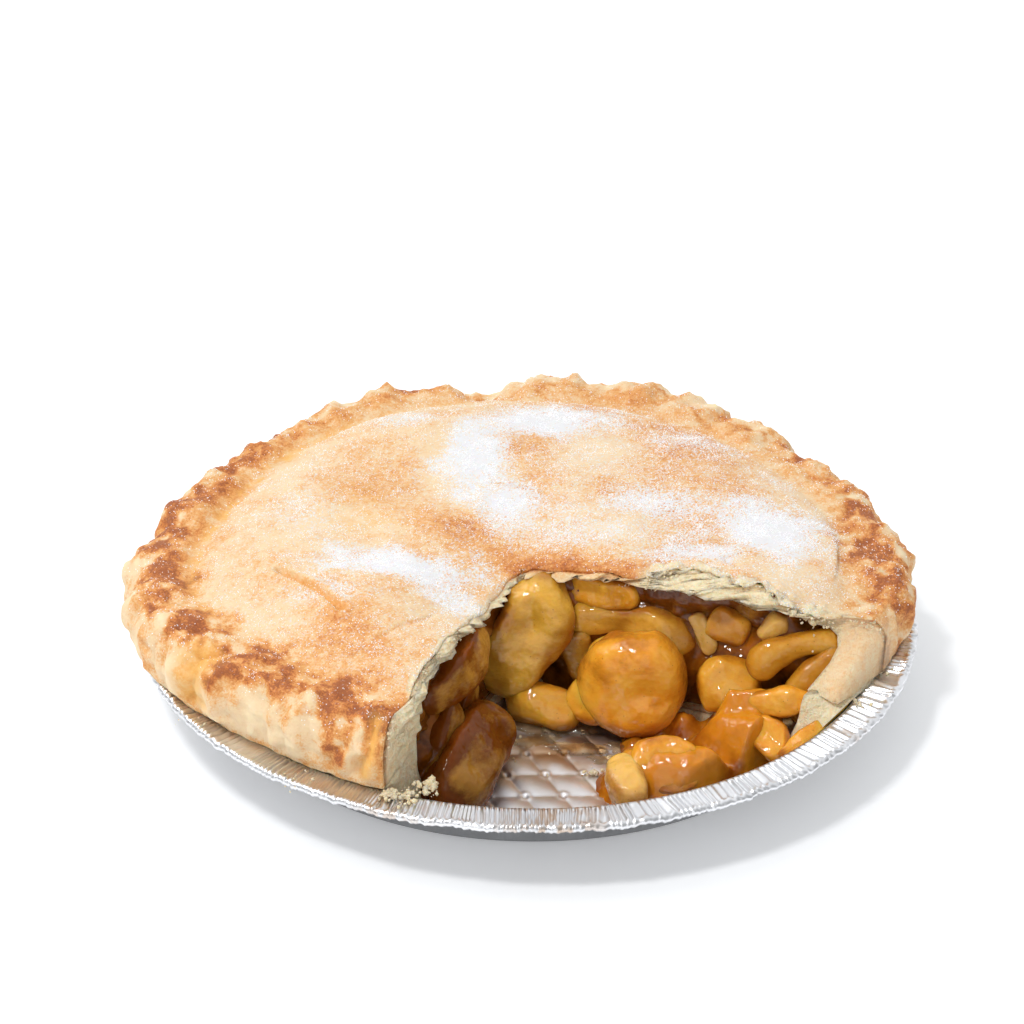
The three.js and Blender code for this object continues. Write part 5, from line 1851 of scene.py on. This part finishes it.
class PIE_OT_sugar(bpy.types.Operator):
    """Scatter coarse sugar over the lid and the rim's folds"""

    bl_idname = "pie.sugar"
    bl_label = "Sugar"

    def execute(self, context):
        dice = np.random.default_rng(11)
        outer, normals, sugar = SURFACES["lid"]
        place = outer[:-1, :-1]
        area = np.linalg.norm(np.cross(outer[1:, :-1] - place, outer[:-1, 1:] - place), axis=-1)
        upward = np.clip(normals[:-1, :-1, 2], 0, 1)
        sugared = 0.12 + sugar[:-1, :-1] ** 1.3
        patchy = np.clip(0.6 + 1.2 * noise(place, 4, 3, 13), 0.05, 2)
        weight = area * upward * sugared * patchy * ease(place[..., 2], 36, 40)
        share = (weight / weight.sum()).ravel()
        count = sizes().sugar_grains
        picked = dice.choice(share.size, size=count, p=share)
        row, column = np.unravel_index(picked, weight.shape)
        u, v = dice.random((2, count, 1))
        spots = (
            outer[row, column] * (1 - u) * (1 - v) + outer[row + 1, column] * u * (1 - v)
            + outer[row, column + 1] * (1 - u) * v + outer[row + 1, column + 1] * u * v
        )
        radius = dice.uniform(0.10, 0.22, count)
        spots = spots + normals[row, column] * (radius * 0.5)[:, None]
        points, quads = sugar_grains(spots, radius, dice)
        make_piece("sugar_grains", points, quads, MATERIALS["sugar"], (), "crust_top", smooth=False)
        return {"FINISHED"}


def sugar_grains(places, radii, dice):
    """Octahedral grains: six corners round each place, stretched and turned at random."""
    corners = np.array([[1, 0, 0], [0, 1, 0], [-1, 0, 0], [0, -1, 0], [0, 0, 1], [0, 0, -1]], dtype=float)
    stretch = dice.uniform(0.75, 1.35, (len(places), 1, 3))
    turns = random_turns(dice, len(places))
    ring = np.arange(4)
    upper = np.stack([ring, np.roll(ring, -1), np.full(4, 4), np.full(4, 4)], axis=1)
    lower = np.stack([np.roll(ring, -1), ring, np.full(4, 5), np.full(4, 5)], axis=1)
    return copies(corners[None] * stretch, np.concatenate([upper, lower]), turns, places, radii)


# ---- stage


# Studio lights: name, place, the point each is aimed at, size and power, in metres and watts.
LIGHTS = (
    ("key", (-0.72, 0.10, 1.15), (0, 0, 0.03), 0.6, 3),
    ("spark", (-0.38, -0.40, 1.08), (0, 0, 0.03), 0.16, 5.6),
    ("front", (-0.20, -1.30, 0.70), (0, -0.02, 0.02), 1.2, 3.2),
)
# The camera: place in millimetres, how far it looks down and leans in radians, and its lens.
CAMERA_AT = (-5.029, -768.870, 491.713)
CAMERA_PITCH = 0.516573224
CAMERA_ROLL = 0.018165245
CAMERA_LENS = 101.25
FLOOR_HALF = 3000.0


def add_light(name, place, aim, size, power):
    """A square area light, aimed from its place at a point."""
    data = bpy.data.lights.new(name, "AREA")
    data.shape = "SQUARE"
    data.size = size
    data.energy = power
    light = add_object(name, data)
    light.location = place
    light.rotation_euler = (Vector(aim) - Vector(place)).to_track_quat("-Z", "Y").to_euler()


class PIE_OT_stage(bpy.types.Operator):
    """Set the pale floor, the soft studio light and the camera"""

    bl_idname = "pie.stage"
    bl_label = "Stage"

    def execute(self, context):
        floor = Recipe("pale_floor", Roughness=0.55, Emission_Strength=0.25)
        floor.shader.inputs["Emission Color"].default_value = (0.97, 0.98, 1.0, 1.0)
        patches = floor.noise(400, 1)
        floor.colour(floor.ramp(patches, (0.3, (0.93, 0.935, 0.94)), (0.7, (0.94, 0.945, 0.95))))
        span = np.linspace(-FLOOR_HALF, FLOOR_HALF, 13)
        x, y = np.meshgrid(span, span, indexing="ij")
        mesh = bpy.data.meshes.new("floor")
        points = np.stack([x, y, 0 * x - 0.05], axis=-1).reshape(-1, 3) * MM
        quads = grid_quads(np.arange(x.size).reshape(x.shape))
        mesh.from_pydata(points.tolist(), [], quads[:, ::-1].tolist())
        mesh.materials.append(floor.material)
        add_object("floor", mesh)

        world = bpy.data.worlds.new("studio")
        context.scene.world = world
        world.use_nodes = True
        backdrop = world.node_tree.nodes["Background"]
        backdrop.inputs["Color"].default_value = (0.98, 0.99, 1.0, 1.0)
        nodes, links = world.node_tree.nodes, world.node_tree.links
        place = nodes.new("ShaderNodeTexCoord")
        parts = nodes.new("ShaderNodeSeparateXYZ")
        links.new(place.outputs["Object"], parts.inputs[0])
        bright = nodes.new("ShaderNodeMapRange")
        bright.interpolation_type = "SMOOTHSTEP"
        for socket, value in (("From Min", -0.5), ("From Max", 0.6), ("To Min", 0.42), ("To Max", 0.98)):
            bright.inputs[socket].default_value = value
        links.new(parts.outputs["Y"], bright.inputs["Value"])
        links.new(bright.outputs["Result"], backdrop.inputs["Strength"])
        for light in LIGHTS:
            add_light(*light)

        data = bpy.data.cameras.new("camera")
        data.sensor_width = 36
        data.lens = CAMERA_LENS
        data.clip_start = 0.05
        data.clip_end = 20
        camera = add_object("camera", data)
        pitch, roll = CAMERA_PITCH, CAMERA_ROLL
        ahead = Vector((0.0, math.cos(pitch), -math.sin(pitch)))
        right = Vector((1.0, 0.0, 0.0))
        up = Vector((0.0, math.sin(pitch), math.cos(pitch)))
        side = math.cos(roll) * right + math.sin(roll) * up
        top = -math.sin(roll) * right + math.cos(roll) * up
        turned = Matrix((side, top, -ahead)).transposed().to_4x4()
        turned.translation = Vector(CAMERA_AT) * MM
        camera.matrix_world = turned
        context.scene.camera = camera
        context.scene.view_settings.view_transform = "Standard"
        return {"FINISHED"}


# ---- settings


def colour_setting(name, red, green, blue, text):
    """A colour setting from 0 to 255 display values."""
    return bpy.props.FloatVectorProperty(
        name=name, description=text, subtype="COLOR_GAMMA", size=3, min=0.0, max=1.0,
        default=(red / 255.0, green / 255.0, blue / 255.0),
    )


class PieColours(bpy.types.PropertyGroup):
    """Display colours of the pie's materials"""

    crust_pale: colour_setting("Crust Pale", 243, 219, 179, "Least baked pastry")
    crust_cream: colour_setting("Crust Cream", 234, 203, 160, "Lightly baked pastry")
    crust_golden: colour_setting("Crust Golden", 228, 166, 96, "Golden pastry")
    crust_brown: colour_setting("Crust Brown", 202, 122, 54, "Browned folds")
    crust_deep: colour_setting("Crust Deep", 160, 88, 40, "Darkest blisters")
    butter: colour_setting("Butter", 238, 182, 92, "Oily yellow creases")
    crumb: colour_setting("Crumb", 255, 240, 206, "Broken pastry")
    crumb_shade: colour_setting("Crumb Shade", 250, 216, 164, "Pits in broken pastry")
    sugar: colour_setting("Sugar", 230, 231, 234, "Sugar grains and dust")
    spice: colour_setting("Spice", 110, 60, 14, "Specks of spice in the glaze")
    # The dark glaze colour is the syrup's dark end and also the painted shade that slices and the packed
    # face are darkened towards.
    dark_glaze_and_shade: colour_setting("Dark Glaze", 66, 28, 6, "Glaze in the hollows")
    apple_gold: colour_setting("Apple Gold", 232, 160, 42, "Golden slices")
    apple_olive: colour_setting("Apple Olive", 196, 142, 46, "Olive gold slices")
    apple_amber: colour_setting("Apple Amber", 236, 158, 44, "Amber slices")
    apple_pale: colour_setting("Apple Pale", 228, 176, 92, "Pale slices")
    # Painted shade: a darker copy of the apple colour for the left cut's slices, and partly for the packed
    # filling set back in the cut.
    apple_brown: colour_setting("Apple Brown", 124, 66, 16, "Brown slices")
    spill: colour_setting("Spill", 216, 136, 30, "Amber syrup mound")
    spill_dark: colour_setting("Spill Dark", 142, 70, 12, "Thick syrup")
    foil: colour_setting("Foil", 240, 241, 244, "Aluminium foil")
    foil_stain: colour_setting("Foil Stain", 190, 146, 88, "Syrup baked onto the foil")


class PieSizes(bpy.types.PropertyGroup):
    """Amounts of what is scattered over the pie"""

    sugar_grains: bpy.props.IntProperty(
        name="Sugar Grains", description="How many sugar grains lie on the lid",
        default=24000, min=0, max=24900,
    )
    crumbs: bpy.props.FloatProperty(
        name="Crumbs", description="Amount of crumbs", default=1.0, min=0.0, max=3.0, subtype="FACTOR",
    )


class PIE_OT_materials(bpy.types.Operator):
    """Mix the pastry, apple, syrup, sugar and foil materials"""

    bl_idname = "pie.materials"
    bl_label = "Materials"

    def execute(self, context):
        tones = looks()
        MATERIALS["crust"] = baked_crust()
        MATERIALS["packed"] = cooked_apple("packed_apple", tuple(tones.apple_brown), tuple(tones.dark_glaze_and_shade))
        for flesh in ("gold", "olive", "amber", "pale", "brown"):
            tone = tuple(getattr(tones, "apple_" + flesh))
            dark = tuple(lerp(np.array(tone), np.array(tones.spill_dark), 0.65))
            wet = 0.5 if flesh == "brown" else 1
            MATERIALS["apple_" + flesh] = cooked_apple("glazed_apple_" + flesh, tone, dark, wet)
        MATERIALS["spill"] = syrup("amber_syrup", tuple(tones.spill), tuple(tones.spill_dark), wet=1)
        between = tuple(lerp(np.array(tones.spill_dark), np.array(tones.spill), 0.45))
        MATERIALS["glaze"] = syrup("dark_syrup", between, tuple(tones.dark_glaze_and_shade))
        MATERIALS["film"] = syrup("thin_syrup", (0.98, 0.88, 0.70), (0.94, 0.76, 0.50), clear=0.95, wet=0.8)
        MATERIALS["sugar"] = sugar_crystal()
        # Painted shade: the wall's foil is a darker copy, standing for the shaded floor it reflects.
        MATERIALS["foil"] = bright_foil("wall_foil", 0.34, 0.64)
        MATERIALS["foil_rim"] = bright_foil("rim_foil", 0.30)
        MATERIALS["foil_base"] = bright_foil("base_foil", 0.46)
        return {"FINISHED"}


class PIE_PT_panel(bpy.types.Panel):
    """Builds the pie's pieces and shows its settings"""

    bl_label = "Apple Pie"
    bl_idname = "PIE_PT_panel"
    bl_space_type = "VIEW_3D"
    bl_region_type = "UI"
    bl_category = "Pie"

    def draw(self, context):
        for operator in OPERATORS:
            self.layout.operator(operator.bl_idname)
        for group in (context.scene.pie_sizes, context.scene.pie_colours):
            column = self.layout.column()
            for name in group.__annotations__:
                column.prop(group, name)


OPERATORS = (
    PIE_OT_materials, PIE_OT_tin, PIE_OT_bottom_crust, PIE_OT_top_crust, PIE_OT_filling,
    PIE_OT_slices, PIE_OT_glaze, PIE_OT_spill, PIE_OT_syrup, PIE_OT_crumbs, PIE_OT_sugar, PIE_OT_stage,
)
CLASSES = (PieColours, PieSizes, *OPERATORS, PIE_PT_panel)


def register():
    for cls in CLASSES:
        bpy.utils.register_class(cls)
    bpy.types.Scene.pie_colours = bpy.props.PointerProperty(type=PieColours)
    bpy.types.Scene.pie_sizes = bpy.props.PointerProperty(type=PieSizes)


def unregister():
    del bpy.types.Scene.pie_sizes
    del bpy.types.Scene.pie_colours
    for cls in reversed(CLASSES):
        bpy.utils.unregister_class(cls)


def main():
    """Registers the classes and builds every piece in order."""
    register()
    for operator in OPERATORS:
        group, name = operator.bl_idname.split(".")
        getattr(getattr(bpy.ops, group), name)()


if __name__ == "__main__":
    main()
